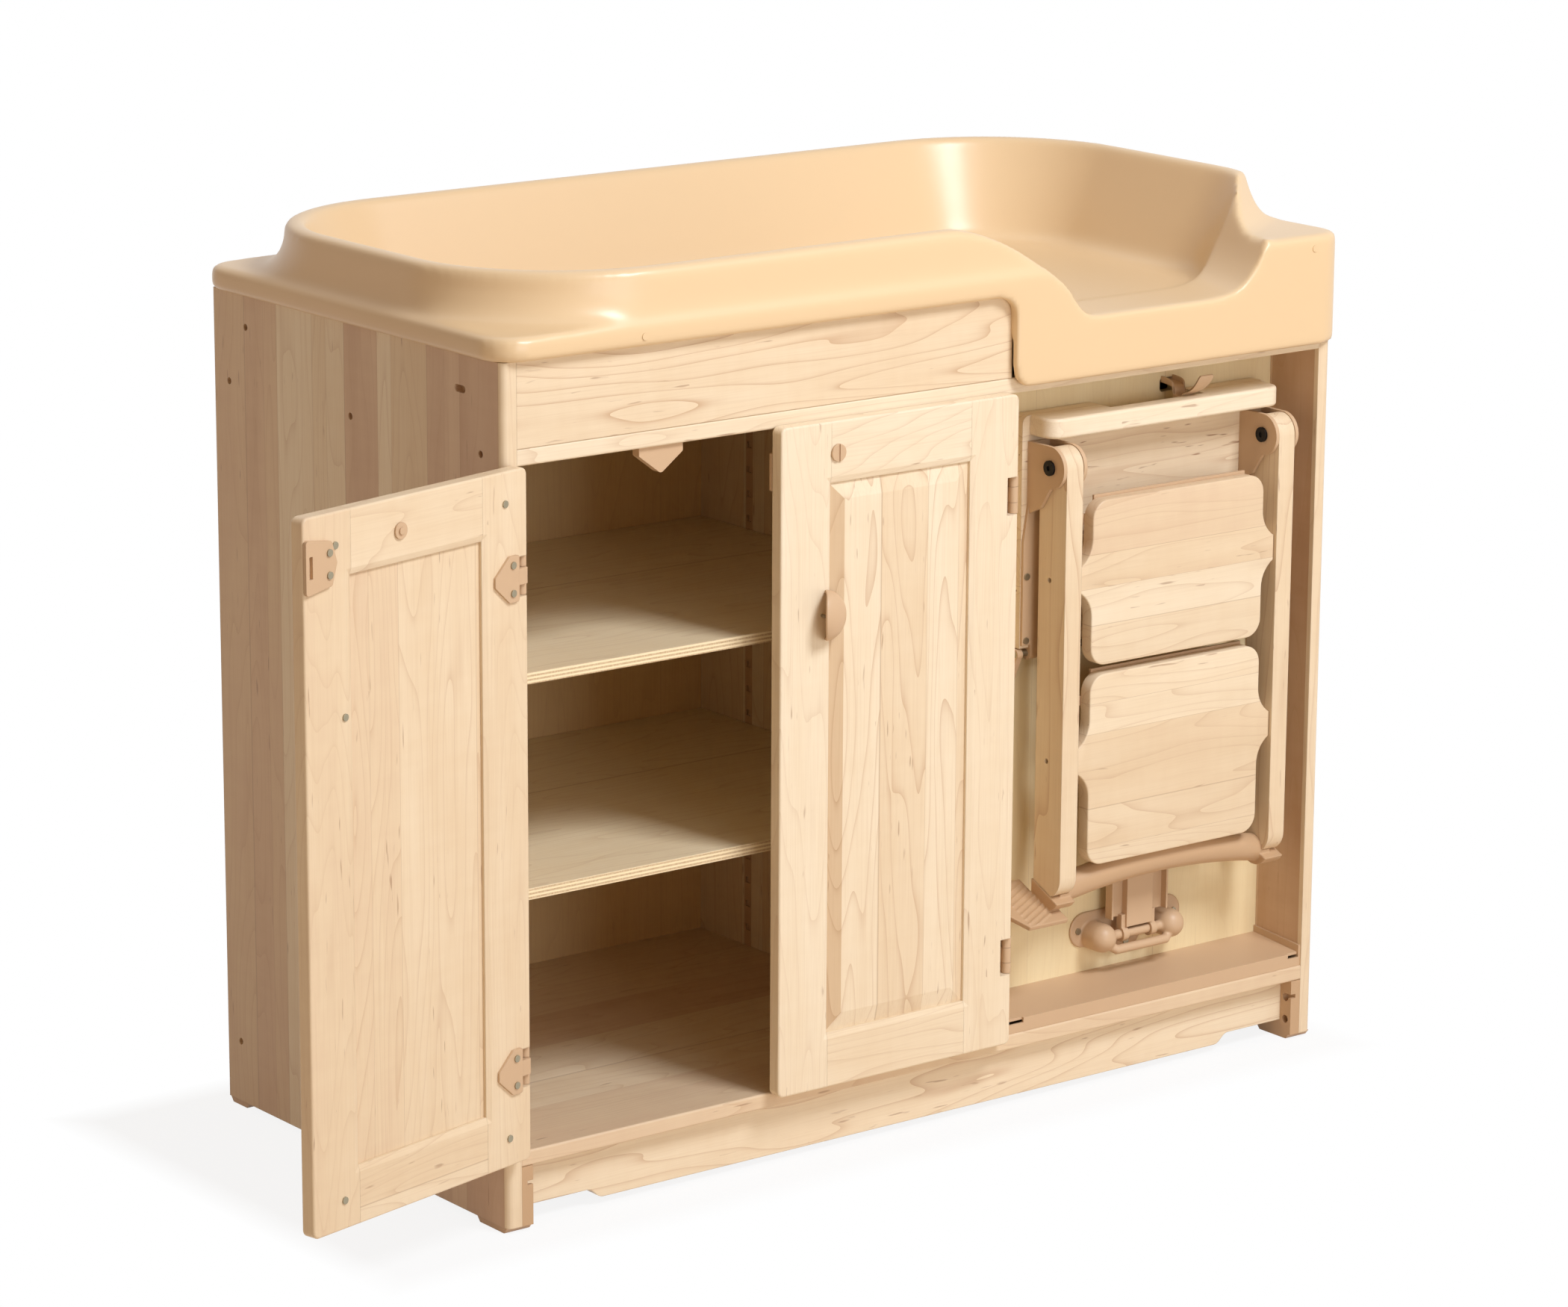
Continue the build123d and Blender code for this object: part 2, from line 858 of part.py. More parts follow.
def make_door_screws(door, with_catch):
    """Screw heads on the inner face with their shanks in the wood, and the knob's long screw."""
    with BuildPart() as group:
        for x, z in joint_screws:
            disc(door.at(-half_door), x, z, screw_head_r, door.out(-screw_head_t))
            disc(door.at(-half_door), x, z, screw_shank_r, door.out(screw_len))
        for x, z in leaf_screws:
            disc(door.at(-half_door - leaf_t), x, z, screw_head_r, door.out(-screw_head_t))
            disc(door.at(-half_door - leaf_t), x, z, screw_shank_r, door.out(screw_len + leaf_t))
        for x, z in with_catch:
            disc(door.at(-half_door - catch_t), x, z, screw_head_r, door.out(-screw_head_t))
            disc(door.at(-half_door - catch_t), x, z, screw_shank_r, door.out(screw_len + catch_t))
        disc(door.at(-half_door), *knob_screw, screw_head_r, door.out(-screw_head_t))
        disc(door.at(-half_door), *knob_screw, screw_shank_r, door.out(door_t + screw_len))
    return group


door_left_stiles = make_stiles(left_door, catch_screws)
door_left_stiles.part.label = "door_left_stiles"
door_left_members = make_members(left_door, lock_left_reach)
door_left_members.part.label = "door_left_members"
door_left_panel = make_raised_panel(left_door)
door_left_panel.part.label = "door_left_panel"
door_left_hinge_leaves = make_hinge_leaves(left_door)
door_left_hinge_leaves.part.label = "door_left_hinge_leaves"
door_left_knob = make_knob(left_door)
door_left_knob.part.label = "door_left_knob"
door_left_lock = make_lock(left_door, lock_left_reach)
door_left_lock.part.label = "door_left_lock"
door_left_screws = make_door_screws(left_door, catch_screws)
door_left_screws.part.label = "door_left_screws"

door_right_stiles = make_stiles(right_door, ())
door_right_stiles.part.label = "door_right_stiles"
door_right_members = make_members(right_door, lock_right_reach)
door_right_members.part.label = "door_right_members"
door_right_panel = make_raised_panel(right_door)
door_right_panel.part.label = "door_right_panel"
door_right_hinge_leaves = make_hinge_leaves(right_door)
door_right_hinge_leaves.part.label = "door_right_hinge_leaves"
door_right_knob = make_knob(right_door)
door_right_knob.part.label = "door_right_knob"
door_right_lock = make_lock(right_door, lock_right_reach)
door_right_lock.part.label = "door_right_lock"
door_right_screws = make_door_screws(right_door, ())
door_right_screws.part.label = "door_right_screws"

# Catch between the doors: a rounded plate on the left door and a strip with a window on the right one
with BuildPart() as catch_plate:
    with BuildSketch(left_door.at(-half_door), mode=Mode.PRIVATE) as outline:
        with BuildLine():
            Polyline(
                (door_w - seat_gap, catch_z - catch_h / 2),
                (door_w - seat_gap, catch_z + catch_h / 2),
                (catch_screw_x - catch_t, catch_z + catch_h * 2 / 5),
                (door_w - catch_w, catch_z),
                (catch_screw_x - catch_t, catch_z - catch_h * 2 / 5),
                close=True,
            )
        make_face()
        fillet(outline.vertices(), catch_t)
    extrude(outline.sketch, amount=left_door.out(-catch_t))
    panel(
        left_door.at(-half_door),
        door_w - 2 * catch_slot_w,
        door_w - catch_slot_w,
        catch_z - catch_h / 5,
        catch_z + catch_h / 5,
        left_door.out(-catch_t),
        mode=Mode.SUBTRACT,
    )
    for x, z in catch_screws:
        disc(left_door.at(-half_door), x, z, screw_shank_r, left_door.out(-catch_t), mode=Mode.SUBTRACT)
catch_plate.part.label = "catch_plate"

with BuildPart() as catch_strip:
    base = right_door.at(-half_door)
    strip_low = catch_z - strip_h / 2
    panel(base, door_w - strip_w, door_w, strip_low, strip_low + strip_h, right_door.out(-catch_t))
    panel(
        base,
        door_w - strip_w * 3 / 4,
        door_w - strip_w / 4,
        catch_z - strip_h / 6,
        catch_z + strip_h / 6,
        right_door.out(-catch_t),
        mode=Mode.SUBTRACT,
    )
catch_strip.part.label = "catch_strip"

# Fixed hinge leaves: a plate let into the panel's front edge, two arms and two rings round the pin
with BuildPart() as hinge_leaves_fixed:
    for x_axis, plate_x0, plate_x1, way in (
        (x_axis_left, mortise_left, x_in_left, 1),
        (x_axis_right, divider_left, bay_left, -1),
    ):
        arm_in = x_axis + way * hinge_inset
        arm_x0 = min(arm_in, arm_in - way * arm_w)
        for height in hinge_heights:
            z = door_low + height
            slab(plate_x0, plate_x1, y_front, y_front + leaf_t, z - hinge_h / 2, z + hinge_h / 2)
            arm_h = (hinge_h - barrel_h) / 2 - 2 * seat_gap
            for z0 in (z - hinge_h / 2 + seat_gap, z + hinge_h / 2 - seat_gap - arm_h):
                slab(arm_x0, arm_x0 + arm_w, y_axis_door, y_front + leaf_t, z0, z0 + arm_h)
                ring = Plane(origin=(x_axis, y_axis_door, z0))
                disc(ring, 0, 0, barrel_r, arm_h)
                disc(ring, 0, 0, pin_r, arm_h, mode=Mode.SUBTRACT)
hinge_leaves_fixed.part.label = "hinge_leaves_fixed"

with BuildPart() as hinge_pins:
    for x_axis in (x_axis_left, x_axis_right):
        for height in hinge_heights:
            foot = Plane(origin=(x_axis, y_axis_door, door_low + height - hinge_h / 2 + seat_gap))
            disc(foot, 0, 0, pin_r, hinge_h - 2 * seat_gap)
hinge_pins.part.label = "hinge_pins"

# Keepers for the locks, hanging under the top board behind each lock
with BuildPart() as lock_keepers:
    for x in (x_axis_left + lock_left_reach, x_axis_right - lock_right_reach):
        with BuildSketch(at_y(y_front + keeper_set), mode=Mode.PRIVATE) as outline:
            with BuildLine():
                Polyline(
                    (x - keeper_w / 2, rail_low),
                    (x + keeper_w / 2, rail_low),
                    (x + keeper_w / 2, rail_low - keeper_shoulder),
                    (x, rail_low - keeper_h),
                    (x - keeper_w / 2, rail_low - keeper_shoulder),
                    close=True,
                )
            make_face()
            fillet(outline.vertices().sort_by(Axis.Y)[0], keeper_shoulder / 2)
        extrude(outline.sketch, amount=-keeper_t)
lock_keepers.part.label = "lock_keepers"

# Moulded tub. Its outside and its bowl are stacks of rounded rectangles. Each row of shares gives how far
# the outline has drawn in, how high it is and how far its corner has opened.
tub_x0 = x_left - tub_over_x
tub_x1 = x_right + tub_over_x
tub_y0 = y_front - tub_over_front
tub_y1 = y_back + tub_over_back
tub_low = panel_top
ledge_top = tub_low + tub_ledge_h
rim_top = tub_low + tub_rim_h
bowl_low = rim_top - bowl_depth


def tub_ring(side, front, z, radius):
    """A rounded rectangle drawn in from the skirt by side at the ends and by front at the front and back."""
    with BuildSketch(at_z(z), mode=Mode.PRIVATE) as ring:
        with Locations(((tub_x0 + tub_x1) / 2, (tub_y0 + tub_y1) / 2)):
            RectangleRounded(tub_x1 - tub_x0 - 2 * side, tub_y1 - tub_y0 - 2 * front, radius)
    return ring.sketch


skirt_edge = rim_roll / 3
skirt_rings = (
    (skirt_edge, skirt_edge, 0),
    (0, 0, skirt_edge),
    (0, 0, tub_ledge_h - 2 * skirt_edge),
    (skirt_edge / 2, skirt_edge / 4, tub_ledge_h - skirt_edge / 2),
    (skirt_edge * 3 / 2, skirt_edge * 3 / 4, tub_ledge_h),
)
flare_shares = ((0.45, 0, 0.62), (0.62, 0.05, 0.78), (0.78, 0.18, 0.88), (0.9, 0.4, 0.95), (1, 0.75, 1))
roll_shares = ((0.1, 0.45), (0.3, 0.75), (0.6, 0.93), (1, 1))
bowl_shares = ((0, 0), (0.3, 0.07), (0.5, 0.25), (0.6, 0.45))
dip_left_shares = ((0.29, 0.11), (0.56, 0.37), (0.83, 0.81))
dip_right_shares = ((0.366, 0.025), (0.478, 0.06), (0.642, 0.205), (0.776, 0.436), (0.91, 0.718))
ear_shares = ((0.6, 0.3),)
floor_shares = ((0.06, 0.62), (0.22, 0.3), (0.5, 0.09), (1, 0))

with BuildPart() as changing_tub:
    rings = []
    for side, front, height in skirt_rings:
        rings.append(tub_ring(side, front, tub_low + height, skirt_corner_r - side))
    flare_h = tub_rim_h - tub_ledge_h - rim_roll
    for in_share, up_share, corner_share in flare_shares:
        side = max(in_share * rim_side_set, skirt_edge * 2)
        z = ledge_top + skirt_edge / 4 + up_share * flare_h
        rings.append(tub_ring(side, in_share * rim_front_set, z, corner_share * rim_corner_r))
    for in_share, up_share in roll_shares:
        draw = in_share * rim_roll
        z = rim_top - rim_roll + up_share * rim_roll
        rings.append(tub_ring(rim_side_set + draw, rim_front_set + draw, z, rim_corner_r - draw))
    loft(rings, ruled=True)

    # the bowl's outside hangs down between the boards
    mouth = rim_roll * 3
    shell = tub_wall
    side_slope = mouth + bowl_side_slope
    under = []
    for draw, z in (
        (mouth - shell, tub_low + skirt_edge),
        (side_slope - bowl_floor_r / 2, bowl_low + bowl_floor_r / 2 - shell),
        (side_slope + bowl_floor_r / 2, bowl_low - shell),
    ):
        under.append(tub_ring(rim_side_set + draw, rim_front_set + draw, z, rim_corner_r - draw))
    loft(under, ruled=True)

    # floor under the dip, from the front skirt to the bowl
    slab(
        bay_left + seat_gap,
        x_in_right - seat_gap,
        tub_y0 + skirt_edge,
        y_front + dip_depth,
        bowl_low - shell,
        tub_low + skirt_edge,
    )

    # the bowl itself: a rolled lip, a sloping wall and a rounded floor
    bowl = []
    for in_share, down_share in bowl_shares:
        draw = rim_roll * 3 / 2 + in_share * rim_roll
        z = rim_top - down_share * rim_roll
        bowl.append((draw, z))
    for in_share, up_share in floor_shares:
        draw = side_slope - bowl_floor_r / 2 + in_share * bowl_floor_r
        bowl.append((draw, bowl_low + up_share * bowl_floor_r))
    faces_of_bowl = []
    for draw, z in bowl:
        faces_of_bowl.append(tub_ring(rim_side_set + draw, rim_front_set + draw, z, rim_corner_r - draw))
    lip = bowl[0][0]
    top_ring = tub_ring(rim_side_set + lip, rim_front_set + lip, rim_top + overrun, rim_corner_r - lip)
    loft([top_ring] + faces_of_bowl, ruled=True, mode=Mode.SUBTRACT)

    # the deep skirt over the front of the bay, and its return round the right corner
    skirt_left = tub_x1 - dip_skirt_reach
    skirt_low = tub_low - dip_skirt_h
    skirt_top = tub_low + skirt_edge
    skirt_right = tub_x1 - skirt_corner_r
    arc_top = skirt_low + dip_skirt_r
    with BuildSketch(at_y(tub_y0), mode=Mode.PRIVATE) as apron_skirt:
        with BuildLine():
            Polyline(
                (skirt_left - dip_skirt_r, tub_low),
                (skirt_left - dip_skirt_r, skirt_top),
                (skirt_right, skirt_top),
                (skirt_right, skirt_low),
                (skirt_left + dip_skirt_r, skirt_low),
            )
            RadiusArc((skirt_left + dip_skirt_r, skirt_low), (skirt_left, arc_top), dip_skirt_r)
            Line((skirt_left, arc_top), (skirt_left, tub_low - dip_skirt_r))
            RadiusArc((skirt_left, tub_low - dip_skirt_r), (skirt_left - dip_skirt_r, tub_low), -dip_skirt_r)
        make_face()
    extrude(apron_skirt.sketch, amount=-(tub_over_front - seat_gap))
    with BuildSketch(at_z(skirt_low), mode=Mode.PRIVATE) as corner:
        with Locations((tub_x1, tub_y0)):
            Rectangle(2 * skirt_corner_r, 2 * dip_skirt_wrap, align=(Align.MAX, Align.MIN))
        fillet(corner.vertices().group_by(Axis.Y)[0].sort_by(Axis.X)[-1], skirt_corner_r)
        with Locations((x_right + seat_gap, y_front - seat_gap)):
            Rectangle(
                2 * skirt_corner_r,
                2 * dip_skirt_wrap,
                align=(Align.MAX, Align.MIN),
                mode=Mode.SUBTRACT,
            )
        with Locations((tub_x1 - skirt_corner_r, tub_y0 + dip_skirt_wrap)):
            Rectangle(2 * skirt_corner_r, 2 * dip_skirt_wrap, align=rise_from, mode=Mode.SUBTRACT)
    extrude(corner.sketch, amount=dip_skirt_h + skirt_edge)

    # the dip in the front wall, above the stair
    dip_x0 = x_left + dip_left
    dip_x1 = x_right - dip_right
    dip_z = tub_low - dip_low
    flat_x0 = dip_x0 + dip_left_run
    flat_x1 = dip_x1 - dip_right_run
    fall = rim_top - dip_z
    left_points = [(dip_x0 + run * dip_left_run, rim_top - down * fall) for run, down in dip_left_shares]

    def dip_face(y, draw):
        """Outline of the dip at y, with its right side drawn in."""
        turn = flat_x1 - draw
        corner = dip_x1 - draw
        right_points = [(turn + run * dip_right_run, dip_z + up * fall) for run, up in dip_right_shares]
        with BuildSketch(at_y(y), mode=Mode.PRIVATE) as outline:
            with BuildLine():
                Spline((dip_x0, rim_top), *left_points, (flat_x0, dip_z), tangents=((1, 0), (1, 0)))
                Line((flat_x0, dip_z), (turn, dip_z))
                Spline((turn, dip_z), *right_points, (corner, rim_top), tangents=((1, 0), (0, 1)))
                Polyline(
                    (corner, rim_top),
                    (corner, rim_top + 2 * overrun),
                    (dip_x0, rim_top + 2 * overrun),
                    (dip_x0, rim_top),
                )
            make_face()
        return outline.sketch

    dip_faces = [dip_face(tub_y0 - overrun, dip_flare), dip_face(y_front + dip_depth, 0)]
    loft(dip_faces, ruled=True, mode=Mode.SUBTRACT)

    # the low ear in the right front corner: its rise to the rim stands across the curve of the corner
    ear_turn = radians(ear_turn_deg)
    ear_plane = Plane(
        origin=(x_right - ear_lip_set, y_front + ear_lip_depth, 0),
        x_dir=(-sin(ear_turn), cos(ear_turn), 0),
        z_dir=(cos(ear_turn), sin(ear_turn), 0),
    )
    ear_h = rim_top - ledge_top
    ear_points = [(run * ear_slope, ledge_top + up * ear_h) for run, up in ear_shares]
    with BuildSketch(ear_plane.offset(-ear_reach / 4), mode=Mode.PRIVATE) as ear:
        with BuildLine():
            Line((-ear_reach, ledge_top), (0, ledge_top))
            Spline((0, ledge_top), *ear_points, (ear_slope, rim_top), tangents=((1, 0), (1, 2)))
            Polyline(
                (ear_slope, rim_top),
                (ear_slope, rim_top + 2 * overrun),
                (-ear_reach, rim_top + 2 * overrun),
                (-ear_reach, ledge_top),
            )
        make_face()
    extrude(ear.sketch, amount=ear_reach * 5 / 4, mode=Mode.SUBTRACT)
changing_tub.part.label = "changing_tub"

# Plugs in the tub's front wall
plug_r = 4
plug_t = 1
plug_share_places = ((0.155, 0.45), (0.955, 0.42))

with BuildPart() as tub_plugs:
    for share_x, share_z in plug_share_places:
        disc(
            at_y(tub_y0),
            tub_x0 + share_x * (tub_x1 - tub_x0),
            tub_low + share_z * tub_ledge_h,
            plug_r,
            plug_t,
        )
tub_plugs.part.label = "tub_plugs"

# Stair. Its places are measured from the middle of the bay, the cabinet's front plane and the floor.
lean = radians(lean_deg)
rod_line = (y_front + rod_y, rod_z)
pivot = (y_front + pivot_y, pivot_z)
stringer_in = stringer_gap / 2
stringer_out = stringer_in + stringer_t
stringer_y0 = pivot[0] - stringer_d / 2
stringer_y1 = pivot[0] + stringer_d / 2
tread_front = y_front
tread_back = tread_front + tread_t
tread_pin_y = y_front + tread_pivot_y


def sole_z(y, reach):
    """Height of the slanted end plane that lies at a distance from the pivot."""
    return pivot[1] - reach / cos(lean) + (y - pivot[0]) * tan(lean)


def both_sides(near, far):
    """The same stretch along X, left and right of the stair's middle."""
    return ((x_mid - far, x_mid - near), (x_mid + near, x_mid + far))


def stringer_outline(reach, grow=0):
    """Side view of a stringer: round at the pivot, with a slanted end and a rounded heel."""
    y0 = stringer_y0 - grow
    y1 = stringer_y1 + grow
    with BuildSketch(Plane.YZ, mode=Mode.PRIVATE) as outline:
        with BuildLine():
            Polyline(
                (y0, pivot[1]),
                (y0, sole_z(y0, reach)),
                (y1, sole_z(y1, reach)),
                (y1, pivot[1]),
                close=True,
            )
        make_face()
        ends = outline.vertices().group_by(Axis.Y)
        fillet(ends[0], heel_r)
        fillet(outline.vertices().sort_by(Axis.X)[-2:].sort_by(Axis.Y)[0], tread_edge_r)
        with Locations(pivot):
            Circle(stringer_d / 2)
    return outline.sketch


def make_stringer(x0):
    with BuildPart() as stringer:
        extrude(stringer_outline(sole_reach - cap_t).moved(Location((x0, 0, 0))), amount=stringer_t)
        disc(at_x(x0), *pivot, bolt_r + run_gap, stringer_t, mode=Mode.SUBTRACT)
        for z in (upper_pivot_z, lower_pivot_z):
            disc(at_x(x0), tread_pin_y, z, stud_r, stringer_t, mode=Mode.SUBTRACT)
    return stringer


stringer_left = make_stringer(x_mid - stringer_out)
stringer_left.part.label = "stringer_left"
stringer_right = make_stringer(x_mid + stringer_in)
stringer_right.part.label = "stringer_right"

# Foot bar: a cap under each stringer, a bowed bar between them and a ribbed pedal beside the left cap
bar_y = pivot[0] + bar_r / 4
bar_z = sole_z(bar_y, sole_reach) + (bar_r + seat_gap) / cos(lean)

with BuildPart() as foot_bar:
    for x0, x1 in both_sides(stringer_in - cap_skin, stringer_out + cap_skin):
        extrude(stringer_outline(sole_reach, cap_skin).moved(Location((x0, 0, 0))), amount=x1 - x0)
    rim_reach = sole_reach - cap_t - cap_lip
    rim_y0 = stringer_y0 - heel_r
    rim_y1 = stringer_y1 + heel_r
    plate(
        (
            (rim_y0, sole_z(rim_y0, rim_reach)),
            (rim_y1, sole_z(rim_y1, rim_reach)),
            (rim_y1, pivot[1] + stringer_d),
            (rim_y0, pivot[1] + stringer_d),
        ),
        at_x(x_mid - stringer_out - cap_t),
        2 * (stringer_out + cap_t),
        mode=Mode.SUBTRACT,
    )
    with BuildLine(mode=Mode.PRIVATE) as bow:
        ThreePointArc(
            (x_mid - stringer_in - cap_t, bar_y, bar_z),
            (x_mid, bar_y, bar_z + bar_bow),
            (x_mid + stringer_in + cap_t, bar_y, bar_z),
        )
    start = bow.line @ 0
    with BuildSketch(Plane(origin=start, z_dir=bow.line % 0), mode=Mode.PRIVATE) as round_bar:
        Circle(bar_r)
    sweep(round_bar.sketch, path=bow.line)
    for x0, x1 in both_sides(stringer_in, stringer_out):
        wood = stringer_outline(sole_reach - cap_t).moved(Location((x0, 0, 0)))
        extrude(wood, amount=x1 - x0, mode=Mode.SUBTRACT)
    # the pedal lies in the plane of the soles
    sole_point = (0, stringer_y0, sole_z(stringer_y0, sole_reach))
    sole_plane = Plane(origin=sole_point, x_dir=(1, 0, 0), z_dir=(0, -sin(lean), cos(lean)))
    pedal_right = x_mid - stringer_out
    pedal_front_left = pedal_right - pedal_reach
    pedal_back_left = pedal_front_left - pedal_reach * 2 / 3
    pedal_d = stringer_d * 7 / 4
    with BuildSketch(sole_plane, mode=Mode.PRIVATE) as pedal:
        with BuildLine():
            Polyline(
                (pedal_right + cap_t, cap_skin),
                (pedal_front_left, cap_skin),
                (pedal_back_left, pedal_d * 2 / 3),
                (pedal_back_left, pedal_d),
                (pedal_right, pedal_d),
                (pedal_right, pedal_d * 3 / 5),
                (pedal_right + cap_t, pedal_d / 2),
                close=True,
            )
        make_face()
        fillet(pedal.vertices().group_by(Axis.X)[0], cap_t)
    extrude(pedal.sketch, amount=pedal_t)
    with BuildSketch(sole_plane.offset(pedal_t), mode=Mode.PRIVATE) as ribs:
        pitch = pedal_d / (rib_count + 1)
        for index in range(rib_count):
            spot = ((pedal_front_left + pedal_right) / 2, (index + 1) * pitch, 0)
            with Locations(Location(spot, (0, 0, lean_deg))):
                Rectangle(pedal_reach, rib_w)
        with BuildLine():
            Polyline(
                (pedal_right - cap_skin, cap_skin * 2),
                (pedal_front_left + cap_skin, cap_skin * 2),
                (pedal_back_left + cap_skin * 2, pedal_d * 2 / 3),
                (pedal_back_left + cap_skin * 2, pedal_d - cap_skin * 2),
                (pedal_right - cap_skin, pedal_d - cap_skin * 2),
                close=True,
            )
        make_face(mode=Mode.INTERSECT)
    extrude(ribs.sketch, amount=rib_h)
foot_bar.part.label = "foot_bar"


def make_tread(pivot_z0, rise, drop):
    """A tread board with a lobe on each side where it pivots, and scalloped necks beside the lobes."""
    low = pivot_z0 - drop
    high = pivot_z0 + rise
    with BuildPart() as tread:
        with BuildSketch(at_y(tread_front), mode=Mode.PRIVATE) as outline:
            with Locations((x_mid, (low + high) / 2)):
                Rectangle(2 * tread_half, high - low)
            fillet(outline.vertices(), tread_corner_r)
            with Locations((x_mid, pivot_z0 + (lobe_up - lobe_down) / 2)):
                Rectangle(2 * lobe_half, lobe_up + lobe_down)
            necks = [v for v in outline.vertices() if abs(abs(v.X - x_mid) - tread_half) < run_gap]
            necks = [v for v in necks if abs(v.Y - pivot_z0) < lobe_up + run_gap]
            fillet(necks, scallop_r)
            tips = [v for v in outline.vertices() if abs(abs(v.X - x_mid) - lobe_half) < run_gap]
            fillet(tips, lobe_tip_r)
        extrude(outline.sketch, amount=-tread_t)
        fillet(tread.faces().sort_by(Axis.Y)[0].edges(), tread_edge_r)
    return tread


tread_upper = make_tread(upper_pivot_z, upper_top, upper_bottom)
tread_upper.part.label = "tread_upper"
tread_lower = make_tread(lower_pivot_z, lower_top, lower_bottom)
tread_lower.part.label = "tread_lower"

link_y = tread_pin_y + link_shift
link_x1 = x_mid - tread_half - link_t / 2
link_x0 = link_x1 - link_t


def make_backing(pivot_z0, rise):
    """Moulded backing: a plate with a lip, an ear behind each lobe of the tread and a stud for the link."""
    with BuildPart() as backing:
        slab(
            x_mid - backing_half,
            x_mid + backing_half,
            tread_back,
            tread_back + backing_t,
            pivot_z0 - lobe_down,
            pivot_z0 + rise + backing_lip,
        )
        neck_low = pivot_z0 - lobe_down / 2
        neck_high = pivot_z0 + lobe_up / 2
        for x0, x1 in both_sides(backing_half, lobe_half):
            slab(x0, x1, tread_back, tread_back + backing_t, neck_low, neck_high)
        for x0, x1 in both_sides(lobe_half - ear_t, lobe_half):
            disc(at_x(x0), tread_pin_y, pivot_z0, ear_r, x1 - x0)
            slab(x0, x1, tread_back, tread_pin_y, pivot_z0 - ear_r, pivot_z0 + ear_r)
            disc(at_x(x0), tread_pin_y, pivot_z0, stud_r + run_gap, x1 - x0, mode=Mode.SUBTRACT)
        ear_x = link_x1 + seat_gap
        stud_z = pivot_z0 + link_rise
        slab(ear_x, x_mid - backing_half, tread_back, tread_back + backing_t, stud_z - ear_r, stud_z + ear_r)
        disc(at_x(ear_x), link_y, stud_z, ear_r, ear_t)
        slab(ear_x, ear_x + ear_t, tread_back, link_y, stud_z - ear_r, stud_z + ear_r)
        disc(at_x(ear_x), link_y, stud_z, stud_r, -(link_t + seat_gap))
        slab(
            x_mid - lobe_half - overrun,
            x_mid + lobe_half + overrun,
            tread_front,
            tread_back,
            pivot_z0 - lobe_down,
            pivot_z0 + rise + backing_lip + overrun,
            mode=Mode.SUBTRACT,
        )
    return backing


tread_upper_backing = make_backing(upper_pivot_z, upper_top)
tread_upper_backing.part.label = "tread_upper_backing"

strap_top = (y_front + strap_top_y, strap_top_z)
strap_axis = (y_front + strap_pivot_y, strap_pivot_z)
cheek_t = ear_t * 2 / 3
tread_lower_backing = make_backing(lower_pivot_z, lower_top)
with BuildPart() as lower_with_cheeks:
    add(tread_lower_backing.part)
    cheek_r = ear_r + stud_r
    cheek_in = strap_end_w / 2 + seat_gap
    for x0, x1 in both_sides(cheek_in, cheek_in + cheek_t):
        disc(at_x(x0), *strap_top, cheek_r, x1 - x0)
        slab(x0, x1, tread_back + backing_t, strap_top[0], strap_top[1] - cheek_r, strap_top[1] + cheek_r)
        disc(at_x(x0), *strap_top, stud_r, x1 - x0, mode=Mode.SUBTRACT)
lower_with_cheeks.part.label = "tread_lower_backing"
tread_lower_backing = lower_with_cheeks

with BuildPart() as tread_pins:
    for z in (upper_pivot_z, lower_pivot_z):
        for x0, x1 in both_sides(lobe_half - ear_t, stringer_in + stringer_t / 2):
            disc(at_x(x0), tread_pin_y, z, stud_r, x1 - x0)
tread_pins.part.label = "tread_pins"

# Link that keeps both treads level: a flat bar in the gap beside the treads, on the backings' studs
with BuildPart() as tread_link:
    for z in (upper_pivot_z + link_rise, lower_pivot_z + link_rise):
        disc(at_x(link_x0), link_y, z, ear_r, link_t)
    slab(
        link_x0,
        link_x1,
        link_y - ear_r,
        link_y + ear_r,
        lower_pivot_z + link_rise,
        upper_pivot_z + link_rise,
    )
    for z in (upper_pivot_z + link_rise, lower_pivot_z + link_rise):
        disc(at_x(link_x0), link_y, z, stud_r + run_gap, link_t, mode=Mode.SUBTRACT)
tread_link.part.label = "tread_link"

# Platform with its thick nosing, and the clevis brackets that carry the stringers
board_front = y_front + platform_front

with BuildPart() as platform_board:
    with BuildSketch(at_y(board_front), mode=Mode.PRIVATE) as outline:
        with Locations((x_mid, (platform_low + platform_top) / 2)):
            Rectangle(2 * platform_half, platform_top - platform_low)
        fillet(outline.vertices().group_by(Axis.Y)[-1], platform_corner_r)
        with Locations((x_mid, platform_top)):
            RectangleRounded(2 * scoop_half, 2 * scoop_depth, scoop_r, mode=Mode.SUBTRACT)
    extrude(outline.sketch, amount=-platform_t)
platform_board.part.label = "platform_board"

with BuildPart() as nosing_board:
    with BuildSketch(at_z(platform_top - nosing_t), mode=Mode.PRIVATE) as outline:
        with Locations((x_mid, board_front)):
            Rectangle(2 * nosing_half, nosing_d, align=(Align.CENTER, Align.MAX))
        fillet(outline.vertices().group_by(Axis.Y)[0], nosing_r)
    extrude(outline.sketch, amount=nosing_t)
    rims = nosing_board.faces().filter_by(Axis.Z).edges()
    fillet([edge for edge in rims if edge.center().Y < board_front - overrun], nosing_edge_r)
    with BuildSketch(at_y(board_front - scoop_d), mode=Mode.PRIVATE) as scoop:
        with Locations((x_mid, platform_top)):
            RectangleRounded(2 * scoop_half, 2 * scoop_depth, scoop_r)
    extrude(scoop.sketch, amount=-(scoop_d + overrun), mode=Mode.SUBTRACT)
nosing_board.part.label = "nosing_board"

clevis_top = pivot[1] + clevis_r
clevis_low = platform_low + rod_r
clevis_foot = pivot[1] - 2 * clevis_r - clevis_r / 2
plate_y = board_front - clevis_plate_t


